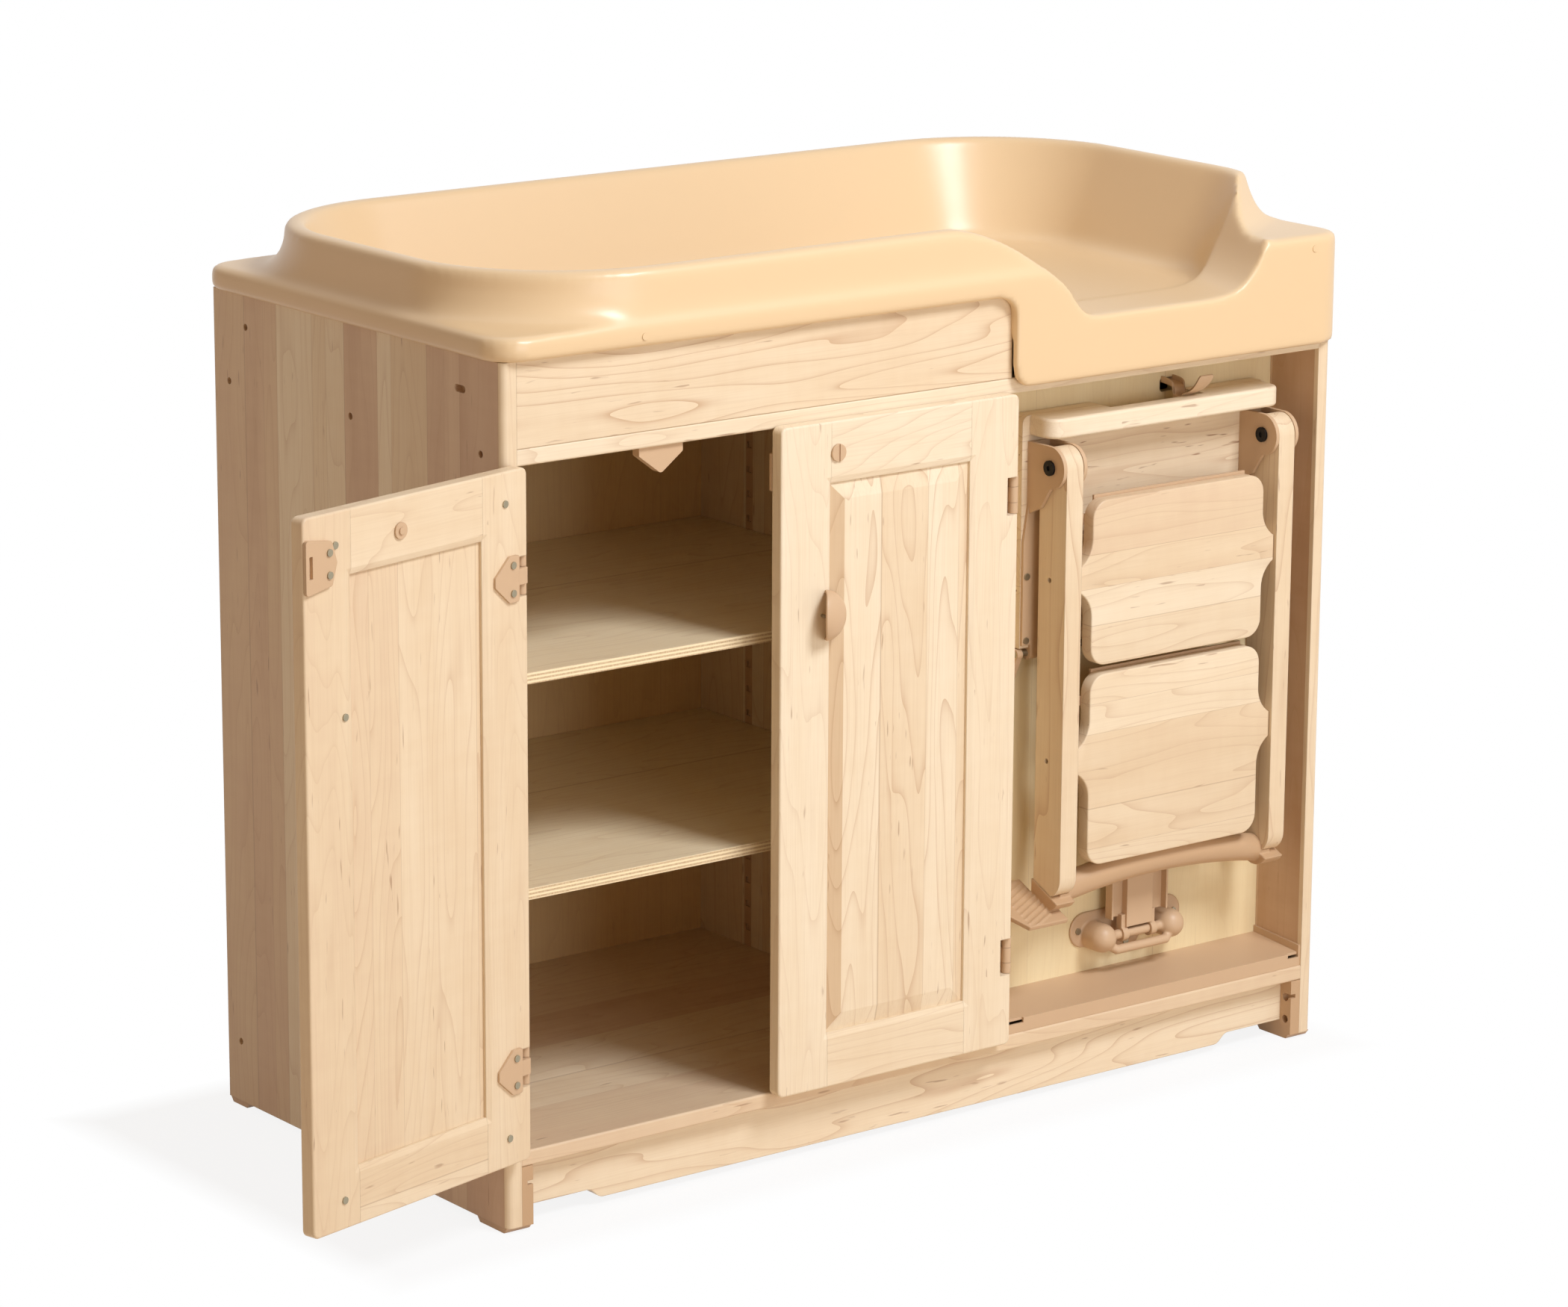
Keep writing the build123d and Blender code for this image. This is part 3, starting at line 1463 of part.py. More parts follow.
def bracket_screw_places(side):
    x = x_mid + side * (stringer_out + clevis_t + screw_head_r / 2)
    return ((x, rod_z + bracket_screw_low), (x, rod_z + bracket_screw_high))


def make_clevis(side):
    """Bracket on the platform's face with an ear on each side of the stringer and a lug round the rod."""
    near = stringer_in - clevis_gap
    far = stringer_out + clevis_gap
    with BuildPart() as clevis:
        for x0, x1 in ((near - clevis_t, near), (far, far + clevis_t)):
            left = x_mid + side * x0
            right = x_mid + side * x1
            low = min(left, right)
            with BuildSketch(at_x(low), mode=Mode.PRIVATE) as ear:
                with BuildLine():
                    Polyline(
                        (pivot[0], clevis_top),
                        (board_front, clevis_top),
                        (board_front, clevis_foot),
                        (pivot[0] + clevis_r * 2 / 3, clevis_foot + clevis_r / 2),
                        (pivot[0], pivot[1] - clevis_r),
                        close=True,
                    )
                make_face()
                with Locations(pivot):
                    Circle(clevis_r)
            extrude(ear.sketch, amount=clevis_t)
        # base plate with a slanted outer edge
        inner = near - clevis_t
        outer = platform_half - overrun
        points = (
            (x_mid + side * inner, clevis_top),
            (x_mid + side * (far + clevis_t), clevis_top),
            (x_mid + side * (far + clevis_t), clevis_foot + clevis_r / 2),
            (x_mid + side * outer, clevis_foot - clevis_r * 5 / 4),
            (x_mid + side * outer, clevis_low),
            (x_mid + side * (near + stringer_t / 2), clevis_low),
            (x_mid + side * (near + stringer_t / 2), clevis_foot - clevis_r),
            (x_mid + side * inner, clevis_foot),
        )
        plate(points, at_y(board_front), clevis_plate_t)
        for x0 in (near - clevis_t, far):
            left = min(x_mid + side * x0, x_mid + side * (x0 + clevis_t))
            disc(at_x(left), *pivot, bolt_r, clevis_t, mode=Mode.SUBTRACT)
        lug_x0 = stringer_in + stringer_t / 2
        lug_left = min(x_mid + side * lug_x0, x_mid + side * (lug_x0 + stringer_t / 2))
        disc(at_x(lug_left), *rod_line, lug_r, stringer_t / 2)
        slab(lug_left, lug_left + stringer_t / 2, plate_y, board_front, rod_z, clevis_low + overrun)
        disc(at_x(lug_left), *rod_line, rod_r + run_gap, stringer_t / 2, mode=Mode.SUBTRACT)
        slab(
            lug_left - overrun,
            lug_left + stringer_t / 2 + overrun,
            board_front,
            board_front + platform_t,
            platform_low,
            platform_low + lug_r,
            mode=Mode.SUBTRACT,
        )
        for x, z in bracket_screw_places(side):
            disc(at_y(board_front), x, z, screw_shank_r, clevis_plate_t, mode=Mode.SUBTRACT)
    return clevis


stringer_bracket_left = make_clevis(-1)
stringer_bracket_left.part.label = "stringer_bracket_left"
stringer_bracket_right = make_clevis(1)
stringer_bracket_right.part.label = "stringer_bracket_right"

with BuildPart() as bracket_screws:
    for side in (-1, 1):
        for x, z in bracket_screw_places(side):
            disc(at_y(plate_y), x, z, screw_head_r, screw_head_t)
            disc(at_y(plate_y), x, z, screw_shank_r, -clevis_plate_t)
bracket_screws.part.label = "bracket_screws"

# Pivot bolts: both heads face left, as seen from the front
with BuildPart() as stringer_bolts:
    for x0, x1 in both_sides(stringer_in - clevis_gap - clevis_t, stringer_out + clevis_gap + clevis_t):
        disc(at_x(x0), *pivot, bolt_r, x1 - x0)
        disc(at_x(x0), *pivot, bolt_head_r, -bolt_head_t)
        disc(at_x(x1), *pivot, bolt_head_r, bolt_head_t)
        disc(at_x(x0 - bolt_head_t), *pivot, socket_r, bolt_head_t / 2, mode=Mode.SUBTRACT)
stringer_bolts.part.label = "stringer_bolts"

# Rod that the platform turns on, held by two ears on the bay's back panel
rod_ear_t = lug_r
rod_ear_r = 6
rod_ear_drop = 53

with BuildPart() as hinge_rod:
    disc(at_x(x_mid - rod_half), *rod_line, rod_r, 2 * rod_half)
hinge_rod.part.label = "hinge_rod"

with BuildPart() as rod_ears:
    for x0, x1 in both_sides(rod_half - rod_ear_t, rod_half):
        with BuildSketch(at_x(x0), mode=Mode.PRIVATE) as ear:
            with BuildLine():
                Polyline(
                    (rod_line[0], rod_z + rod_ear_r),
                    (bay_panel_front, rod_z + rod_ear_r),
                    (bay_panel_front, rod_z - rod_ear_drop),
                    (rod_line[0] - rod_ear_r, rod_z),
                    close=True,
                )
            make_face()
            with Locations(rod_line):
                Circle(rod_ear_r)
        extrude(ear.sketch, amount=x1 - x0)
        disc(at_x(x0), *rod_line, rod_r, x1 - x0, mode=Mode.SUBTRACT)
rod_ears.part.label = "rod_ears"

# Strap that swings the lower tread out: a hat section on a round bar between two domes
bar_radius = mount_bar_h / 2
strap_ring_r = bar_radius + strap_t + seat_gap * 2
strap_low = strap_axis[1] + strap_ring_r
strap_high = strap_top[1] - strap_end_w
strap_half = strap_rib_w / 2 + strap_flange_w

with BuildPart() as link_strap:
    web_y = strap_axis[0] + bar_radius / 2
    rib_y = web_y - strap_rib_d
    flange_low = strap_axis[1] + mount_dome_r
    rib_half = strap_rib_w / 2
    with BuildSketch(at_z(strap_low), mode=Mode.PRIVATE) as hat:
        with Locations((x_mid, rib_y)):
            Rectangle(2 * rib_half, strap_rib_d + strap_t, align=rise_from)
            Rectangle(2 * (rib_half - strap_t), strap_rib_d + strap_t, align=rise_from, mode=Mode.SUBTRACT)
            Rectangle(2 * rib_half, strap_t, align=rise_from)
    extrude(hat.sketch, amount=strap_high - strap_low)
    with BuildSketch(at_z(flange_low), mode=Mode.PRIVATE) as wings:
        for x0, x1 in both_sides(rib_half - strap_t, strap_half):
            with Locations(((x0 + x1) / 2, web_y)):
                Rectangle(x1 - x0, strap_t, align=rise_from)
        for x0, x1 in both_sides(strap_half - strap_t, strap_half):
            with Locations(((x0 + x1) / 2, rib_y)):
                Rectangle(x1 - x0, strap_rib_d + strap_t, align=rise_from)
    extrude(wings.sketch, amount=strap_high - flange_low)
    for x0, x1 in both_sides(rib_half - strap_t, rib_half + ear_t):
        with BuildSketch(at_x(x0), mode=Mode.PRIVATE) as ring:
            with Locations(strap_axis):
                Circle(strap_ring_r)
            with Locations((web_y + strap_t, strap_axis[1])):
                Rectangle(strap_ring_r, flange_low - strap_axis[1] + strap_t, align=(Align.MAX, Align.MIN))
            with Locations(strap_axis):
                Circle(bar_radius + run_gap, mode=Mode.SUBTRACT)
        extrude(ring.sketch, amount=x1 - x0)
    plate(
        (
            (web_y + strap_t, strap_high - strap_end_w / 3),
            (web_y, strap_high - strap_end_w / 3),
            (rib_y, strap_high - strap_end_w / 3),
            (strap_top[0] - stud_r, strap_top[1]),
            (strap_top[0] + stud_r, strap_top[1]),
            (web_y + strap_t, strap_high),
        ),
        at_x(x_mid - strap_end_w / 2),
        strap_end_w,
    )
link_strap.part.label = "link_strap"

with BuildPart() as strap_bracket:
    face = at_y(bay_panel_front)
    middle_z = strap_axis[1] + mount_dome_r / 3
    with BuildSketch(face, mode=Mode.PRIVATE) as outline:
        with Locations((x_mid, middle_z)):
            SlotOverall(2 * mount_half, 2 * mount_dome_r)
        with Locations((x_mid, mount_low)):
            RectangleRounded(2 * mount_dome_r, 2 * mount_dome_r, mount_dome_r / 2, align=rise_from)
    extrude(outline.sketch, amount=mount_plate_t)
    dome_r = mount_dome_r * 4 / 5
    for side in (-1, 1):
        x = x_mid + side * mount_dome_reach
        dome_z = strap_axis[1]
        disc(face, x, dome_z, dome_r, bay_panel_front - strap_axis[0])
        with Locations((x, strap_axis[0], dome_z)):
            Sphere(dome_r)
    slab(
        x_mid - mount_half - mount_half,
        x_mid + mount_half + mount_half,
        bay_panel_front,
        bay_panel_front + mount_dome_r,
        mount_low - mount_dome_r,
        strap_axis[1] + 2 * mount_dome_r,
        mode=Mode.SUBTRACT,
    )
    disc(at_x(x_mid - mount_dome_reach), *strap_axis, bar_radius, 2 * mount_dome_reach)
    screw_reach = mount_half - 3 * screw_head_r
    screw_spots = (
        (x_mid - screw_reach, middle_z),
        (x_mid, mount_low + 3 * screw_head_r / 2),
        (x_mid + screw_reach, middle_z),
    )
    for x, z in screw_spots:
        disc(face, x, z, screw_shank_r, mount_plate_t, mode=Mode.SUBTRACT)
strap_bracket.part.label = "strap_bracket"

with BuildPart() as strap_bracket_screws:
    for x, z in screw_spots:
        disc(at_y(bay_panel_front - mount_plate_t), x, z, screw_head_r, screw_head_t)
        disc(at_y(bay_panel_front - mount_plate_t), x, z, screw_shank_r, -mount_plate_t)
strap_bracket_screws.part.label = "strap_bracket_screws"

# Latch: a bent strip that hangs in the panel's slot and rests in the scoop of the step
latch_axis = (y_front + latch_pivot_y, latch_pivot_z)

with BuildPart() as latch_hook:
    with BuildSketch(at_x(slot_x - latch_w / 2), mode=Mode.PRIVATE) as bend:
        with BuildLine():
            FilletPolyline(
                latch_axis,
                (bay_panel_front - latch_t, latch_pivot_z - latch_t),
                (board_front, latch_dip_z),
                (board_front - latch_dip_len, latch_dip_z),
                (board_front - scoop_d, latch_rise_z),
                (y_front + latch_tip_y, latch_tip_z),
                radius=latch_t,
            )
        trace(line_width=latch_t)
    extrude(bend.sketch, amount=latch_w)
    disc(at_x(slot_x - latch_w / 2), *latch_axis, 2 * latch_pin_r, latch_w)
    disc(at_x(slot_x - latch_w), *latch_axis, latch_pin_r, 2 * latch_w)
latch_hook.part.label = "latch_hook"

# Tray on the bay's floor: a low front lip, a top that climbs to the back panel and raised ends
with BuildPart() as bay_floor_tray:
    lip_y = y_front + tray_front
    lip_top = deck_top + tray_lip_h
    back_top = deck_top + tray_back_h
    plate(
        (
            (lip_y, deck_top),
            (lip_y, lip_top),
            (bay_panel_front, back_top),
            (bay_panel_front, back_top - tray_t),
            (lip_y + tray_t, lip_top - tray_t),
            (lip_y + tray_t, deck_top),
        ),
        at_x(bay_left),
        bay_w,
    )
    for x0, x1 in ((bay_left, bay_left + tray_end_w), (x_in_right - tray_step_w, x_in_right)):
        slab(
            x0 - overrun,
            x1 + overrun,
            lip_y - overrun,
            lip_y + tray_t,
            lip_top - 2 * tray_t,
            lip_top + overrun,
            mode=Mode.SUBTRACT,
        )
    plate(
        (
            (lip_y, deck_top),
            (lip_y, deck_top + tray_end_h - tray_t),
            (bay_panel_front, deck_top + tray_end_h + tray_t),
            (bay_panel_front, deck_top),
        ),
        at_x(x_in_right - tray_t),
        tray_t,
    )
bay_floor_tray.part.label = "bay_floor_tray"

pieces = (
    side_panel_left,
    side_panel_right,
    divider_panel,
    bottom_deck,
    top_board,
    apron_board,
    toe_kick_board,
    back_panel,
    bay_back_panel,
    shelf_lower,
    shelf_upper,
    shelf_standards,
    shelf_clips,
    foot_bracket_left,
    foot_bracket_right,
    rear_glides,
    door_left_stiles,
    door_left_members,
    door_left_panel,
    door_left_hinge_leaves,
    door_left_knob,
    door_left_lock,
    door_left_screws,
    door_right_stiles,
    door_right_members,
    door_right_panel,
    door_right_hinge_leaves,
    door_right_knob,
    door_right_lock,
    door_right_screws,
    catch_plate,
    catch_strip,
    hinge_leaves_fixed,
    hinge_pins,
    lock_keepers,
    changing_tub,
    tub_plugs,
    stringer_left,
    stringer_right,
    foot_bar,
    tread_upper,
    tread_lower,
    tread_upper_backing,
    tread_lower_backing,
    tread_pins,
    tread_link,
    platform_board,
    nosing_board,
    stringer_bracket_left,
    stringer_bracket_right,
    bracket_screws,
    stringer_bolts,
    hinge_rod,
    rod_ears,
    link_strap,
    strap_bracket,
    strap_bracket_screws,
    latch_hook,
    bay_floor_tray,
)
for piece in pieces:
    export_step(piece.part, f"parts/{piece.part.label}.step")
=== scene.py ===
import json
from math import acos, cos, pi, radians, sin

import bmesh
import bpy
from mathutils import Matrix, Vector


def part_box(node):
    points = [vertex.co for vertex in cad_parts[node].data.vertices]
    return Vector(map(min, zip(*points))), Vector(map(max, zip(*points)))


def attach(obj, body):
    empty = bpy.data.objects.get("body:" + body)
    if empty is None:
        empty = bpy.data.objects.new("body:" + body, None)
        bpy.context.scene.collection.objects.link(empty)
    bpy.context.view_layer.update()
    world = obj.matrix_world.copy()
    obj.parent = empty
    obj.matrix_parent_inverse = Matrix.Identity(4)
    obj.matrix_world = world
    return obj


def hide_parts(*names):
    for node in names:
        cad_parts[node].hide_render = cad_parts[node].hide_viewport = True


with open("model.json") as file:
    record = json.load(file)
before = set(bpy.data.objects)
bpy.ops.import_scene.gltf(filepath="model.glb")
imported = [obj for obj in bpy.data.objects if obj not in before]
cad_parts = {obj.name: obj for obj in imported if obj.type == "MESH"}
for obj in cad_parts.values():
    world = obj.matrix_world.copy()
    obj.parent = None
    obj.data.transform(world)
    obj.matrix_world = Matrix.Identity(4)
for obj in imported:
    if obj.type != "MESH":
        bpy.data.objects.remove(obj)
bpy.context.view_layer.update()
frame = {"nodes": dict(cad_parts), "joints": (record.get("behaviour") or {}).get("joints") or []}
nodes = frame["nodes"]

# Places of the joints at rest, in metres
places = {joint["name"]: joint["pos_m"] for joint in frame["joints"]}
ranges = {joint["name"]: joint["range_deg"] for joint in frame["joints"]}
STAIR_MIDDLE = places["platform_hinge"][0]
LATCH_X = places["latch_lift"][0]
# The left door rests wide open, as far from shut as its joint turns
DOOR_TURN = -radians(ranges["door_left_hinge"][1])
# Half the thickness of a door's frame
HALF_DOOR = 0.009


# ---------------------------------------------------------------- node helpers

def link(tree, a, b):
    tree.links.new(a, b)


def new_material(name):
    mat = bpy.data.materials.new(name)
    mat.use_nodes = True
    tree = mat.node_tree
    return mat, tree, tree.nodes["Principled BSDF"]


def node(tree, kind, **values):
    made = tree.nodes.new(kind)
    for key, value in values.items():
        setattr(made, key, value)
    return made


def set_inputs(made, values):
    """Constants on a node's own sockets, by socket name."""
    for key, value in values.items():
        made.inputs[key].default_value = value


def calc(tree, operation, a, b=None, clamp=False):
    """A Math node on sockets or plain numbers."""
    made = node(tree, "ShaderNodeMath", operation=operation, use_clamp=clamp)
    for socket, value in zip(made.inputs, (a, b)):
        if isinstance(value, (int, float)):
            socket.default_value = value
        elif value is not None:
            link(tree, value, socket)
    return made.outputs[0]


def plus(tree, a, b, clamp=False):
    return calc(tree, "ADD", a, b, clamp)


def minus(tree, a, b, clamp=False):
    return calc(tree, "SUBTRACT", a, b, clamp)


def times(tree, a, b, clamp=False):
    return calc(tree, "MULTIPLY", a, b, clamp)


def swing(tree, value, share):
    """A value from 0 to 1 as a share to both sides of zero."""
    return times(tree, minus(tree, value, 0.5), share)


def mix_color(tree, factor, a, b, blend="MIX"):
    """Two colours, each a socket or red, green and blue, mixed by a factor."""
    made = node(tree, "ShaderNodeMix", data_type="RGBA", blend_type=blend)
    factor_in, a_in, b_in = made.inputs[0], made.inputs[6], made.inputs[7]
    for socket, value in ((factor_in, factor), (a_in, a), (b_in, b)):
        if isinstance(value, (int, float)):
            socket.default_value = value
        elif isinstance(value, tuple):
            socket.default_value = (*value, 1)
        else:
            link(tree, value, socket)
    return made.outputs[2]


def ramp(tree, value, stops):
    """A colour for a value, between stops of a place and a colour. A new ramp holds two elements."""
    made = node(tree, "ShaderNodeValToRGB")
    elements = made.color_ramp.elements
    for i, (place, color) in enumerate(stops):
        element = elements[i] if i < 2 else elements.new(place)
        element.position = place
        element.color = (*color, 1)
    link(tree, value, made.inputs[0])
    return made.outputs[0]


def noise(tree, vector, scale, detail=2.0, roughness=0.5):
    """Noise with a scale per axis."""
    stretch = node(tree, "ShaderNodeMapping")
    stretch.inputs["Scale"].default_value = scale
    link(tree, vector, stretch.inputs["Vector"])
    made = node(tree, "ShaderNodeTexNoise")
    set_inputs(made, {"Scale": 1.0, "Detail": detail, "Roughness": roughness})
    link(tree, stretch.outputs[0], made.inputs["Vector"])
    return made.outputs["Fac"]


def surface_coords(tree, output="Object"):
    """Places on the piece, or its normals, in the frame that it was made in."""
    return node(tree, "ShaderNodeTexCoord").outputs[output]


def split(tree, vector):
    """The x, y and z of a vector."""
    parts = node(tree, "ShaderNodeSeparateXYZ")
    link(tree, vector, parts.inputs[0])
    return parts.outputs


def joined(tree, values):
    """A vector of three values."""
    made = node(tree, "ShaderNodeCombineXYZ")
    for socket, value in zip(made.inputs, values):
        link(tree, value, socket)
    return made.outputs[0]


def grain_space(tree, along, turn, shift):
    """Coordinates whose x runs along the grain, X or Z, as a vector and as single values."""
    level = node(tree, "ShaderNodeMapping", vector_type="POINT")
    set_inputs(level, {"Rotation": (0, 0, -turn), "Location": shift})
    link(tree, surface_coords(tree), level.inputs["Vector"])
    parts = split(tree, level.outputs[0])
    order = {"X": (0, 1, 2), "Z": (2, 0, 1)}[along]
    axes = [parts[i] for i in order]
    return joined(tree, axes), axes


BUMP_STRENGTH = 0.2
BEVEL_SAMPLES = 4


def finish_normal(tree, bsdf, height, distance, radius):
    """Bump from a height, over edges softened by a radius."""
    bump = node(tree, "ShaderNodeBump")
    set_inputs(bump, {"Strength": BUMP_STRENGTH, "Distance": distance})
    link(tree, height, bump.inputs["Height"])
    if radius:
        bevel = node(tree, "ShaderNodeBevel", samples=BEVEL_SAMPLES)
        bevel.inputs["Radius"].default_value = radius
        link(tree, bevel.outputs[0], bump.inputs["Normal"])
    link(tree, bump.outputs[0], bsdf.inputs["Normal"])


# ---------------------------------------------------------------- wood

# Maple from its reddest to its palest, by lightness
MAPLE_TONES = (
    (0.0, (0.55, 0.345, 0.205)),
    (0.28, (0.70, 0.51, 0.345)),
    (0.5, (0.765, 0.60, 0.405)),
    (0.74, (0.83, 0.69, 0.50)),
    (1.0, (0.88, 0.765, 0.59)),
)
LINE_COLOR = (0.50, 0.29, 0.155)
FIBRE_COLOR = (0.56, 0.37, 0.21)
FLECK_COLOR = (0.30, 0.14, 0.07)
JOINT_COLOR = (0.34, 0.19, 0.1)

# Noises of the grain: scales per metre along it and twice across it, detail and roughness
BEND = (1.3, 10.0, 10.0), 2.0, 0.4
FIBRE = (9.0, 520.0, 520.0), 3.0, 0.6
CLOUD = (4.0, 24.0, 24.0), 4.0, 0.55
SILK = (60.0, 14.0, 14.0), 2.0, 0.5
FLECK = (28.0, 240.0, 240.0), 1.0, 0.4
FLECK_AREA = (5.0, 18.0, 18.0), 1.0, 0.5

# Growth lines end sharply on one side, and fade with the clouds from a faintest to a full strength
LINE_SHARPNESS = 10.0
LINE_FAINTEST, LINE_FADE = 0.1, 1.1
CLOUD_SHARE = 0.42
SILK_SHARE = 0.12
FIBRE_FROM = 0.45
FLECK_FROM, FLECK_GAIN, FLECK_AREA_FROM = 0.70, 12.0, 0.53

# Glued boards: where the count starts, how their widths vary, and how far the grain jumps between them
BOARD_START = 7.3
WIDTH_WAVE, WIDTH_SHARE = 2.4, 0.32
BOARD_JUMP = 9.0
JOINT_HALF = 0.0004
JOINT_SHARE = 0.35
SEED_SHIFT = (0.37, 0.21, 0.13)
SEED_STEP = 3.7

# A plywood edge: pale layers and dark ones with pores, where the normal is far from upright
PLY_LAYER = 0.0022
PLY_PALE = (0.93, 0.80, 0.60)
PLY_DARK = (0.50, 0.33, 0.19)
PORES = (900.0, 900.0, 500.0), 1.0, 0.5
DARK_LEAST = 0.15
EDGE_BELOW = 0.5

# Painted shade on a raised panel's left slope, the side turned away from the light, starts where the
# normal leans this far to the left
SHADED_SLOPE_FROM = -0.06

# Satin lacquer, duller on the fibre, the depth of the grain, and the radius of softened edges
WOOD_ROUGH, FIBRE_ROUGH = 0.36, 0.14
WOOD_RELIEF = 0.0003
WOOD_EDGE = 0.0016
FIBRE_RELIEF, LINE_RELIEF = 0.5, 0.3


def glued_boards(tree, cross, width, seed):
    """A random value for each of the boards that lie side by side, and a mask along their joints."""
    white = node(tree, "ShaderNodeTexWhiteNoise", noise_dimensions="1D")
    if not width:
        white.inputs["W"].default_value = seed + 0.5
        return white.outputs["Value"], None
    count = calc(tree, "DIVIDE", plus(tree, cross, BOARD_START), width)
    wave = calc(tree, "SINE", times(tree, count, WIDTH_WAVE))
    count = plus(tree, count, times(tree, wave, WIDTH_SHARE))
    link(tree, plus(tree, calc(tree, "FLOOR", count), seed * SEED_STEP), white.inputs["W"])
    part = calc(tree, "FRACT", count)
    near = calc(tree, "MINIMUM", part, minus(tree, 1.0, part))
    return white.outputs["Value"], calc(tree, "LESS_THAN", near, JOINT_HALF / width)


def ply_edge(tree, base):
    """Layers along the edges of a level plywood board."""
    normal = split(tree, surface_coords(tree, "Normal"))
    coords = surface_coords(tree)
    on_edge = calc(tree, "LESS_THAN", calc(tree, "ABSOLUTE", normal["Z"]), EDGE_BELOW)
    layer = calc(tree, "DIVIDE", split(tree, coords)["Z"], PLY_LAYER)
    odd = calc(tree, "GREATER_THAN", calc(tree, "PINGPONG", layer, 1.0), 0.5)
    dark = times(tree, odd, plus(tree, noise(tree, coords, *PORES), DARK_LEAST))
    return mix_color(tree, on_edge, base, mix_color(tree, dark, PLY_PALE, PLY_DARK))


def painted_slope_shade(tree, base, color):
    """Painted shade along the left-facing sloped side of a raised panel, where the normal leans to the
    left.
    """
    normal = split(tree, surface_coords(tree, "Normal"))
    # The painted shade goes on faces whose normal leans to the left
    on_shaded_slope = calc(tree, "LESS_THAN", normal["X"], SHADED_SLOPE_FROM)
    return mix_color(tree, on_shaded_slope, base, mix_color(tree, 1.0, base, color, "MULTIPLY"))


def wood(
    name,
    along,
    turn=0.0,
    *,
    seed,
    tone,
    spread,
    lines,
    strips=0.0,
    across=1,
    flecks=0.5,
    rings=19.0,
    fibre=0.3,
    tint=None,
    ply=False,
    slope_shade=None,
):
    """Maple: boards of varied tone, long cathedral grain, fine fibre, flecks and a satin lacquer.

    The grain runs along an axis of the piece, which is turned about z. Strips is the width of glued
    boards, which lie side by side on the grain's first or second cross axis. Tone is the mean lightness
    and spread what boards differ by. Lines, flecks and fibre are strengths, and rings is the number of
    growth lines that a bend of the grain goes through. Ply is for a level board with layered edges,
    and slope_shade the colour of painted shade multiplied onto a raised panel's left-facing sloped
    side.
    """
    mat, tree, bsdf = new_material(name)
    space, axes = grain_space(tree, along, turn, tuple(seed * shift for shift in SEED_SHIFT))
    board, joint = glued_boards(tree, axes[across], strips, seed)
    moved = node(tree, "ShaderNodeVectorMath", operation="ADD")
    link(tree, space, moved.inputs[0])
    link(tree, joined(tree, [times(tree, board, BOARD_JUMP)] * 3), moved.inputs[1])
    grain = moved.outputs[0]

    bend = noise(tree, grain, *BEND)
    fine = noise(tree, grain, *FIBRE)
    cloud = noise(tree, grain, *CLOUD)
    silk = noise(tree, grain, *SILK)
    speck = noise(tree, grain, *FLECK)
    speck_area = noise(tree, grain, *FLECK_AREA)

    level = plus(tree, swing(tree, board, spread), tone)
    level = plus(tree, level, swing(tree, cloud, CLOUD_SHARE))
    level = plus(tree, level, swing(tree, silk, SILK_SHARE), clamp=True)
    base = ramp(tree, level, MAPLE_TONES)

    line = calc(tree, "POWER", calc(tree, "FRACT", times(tree, bend, rings)), LINE_SHARPNESS)
    faint = times(tree, line, plus(tree, times(tree, cloud, LINE_FADE), LINE_FAINTEST))
    base = mix_color(tree, times(tree, faint, lines), base, LINE_COLOR)
    threads = times(tree, minus(tree, fine, FIBRE_FROM, clamp=True), fibre * 2)
    base = mix_color(tree, threads, base, FIBRE_COLOR)
    specks = times(tree, minus(tree, speck, FLECK_FROM), FLECK_GAIN, clamp=True)
    specks = times(tree, specks, calc(tree, "GREATER_THAN", speck_area, FLECK_AREA_FROM))
    base = mix_color(tree, times(tree, specks, flecks), base, FLECK_COLOR)

    if joint is not None:
        base = mix_color(tree, times(tree, joint, JOINT_SHARE), base, JOINT_COLOR)
    if ply:
        base = ply_edge(tree, base)
    # Painted shade: the left-facing slope of a raised panel is darkened
    if slope_shade is not None:
        base = painted_slope_shade(tree, base, slope_shade)
    if tint is not None:
        base = mix_color(tree, 1.0, base, tint, "MULTIPLY")
    link(tree, base, bsdf.inputs["Base Color"])
    link(tree, plus(tree, times(tree, fine, FIBRE_ROUGH), WOOD_ROUGH), bsdf.inputs["Roughness"])
    set_inputs(bsdf, {"Specular IOR Level": 0.38, "Coat Weight": 0.1, "Coat Roughness": 0.3})
    height = minus(tree, times(tree, fine, FIBRE_RELIEF), times(tree, line, LINE_RELIEF))
    finish_normal(tree, bsdf, height, WOOD_RELIEF, WOOD_EDGE)
    return mat


# ---------------------------------------------------------------- plastic and metal

PLASTIC_SLOW = (4.0, 4.0, 4.0), 3.0
PLASTIC_DARK = 0.84
PLASTIC_SLOW_SHARE = 0.22
PLASTIC_FINE_SHARE = 0.3
PIT_FROM = 0.45
GLOSS_SPREAD = 0.12
METAL_MARKS = (320.0, 320.0, 320.0), 4.0
METAL_DARK = 0.62
SCRATCH = 0.25
SCRATCH_DEPTH = 0.00008
METAL_EDGE = 0.0004


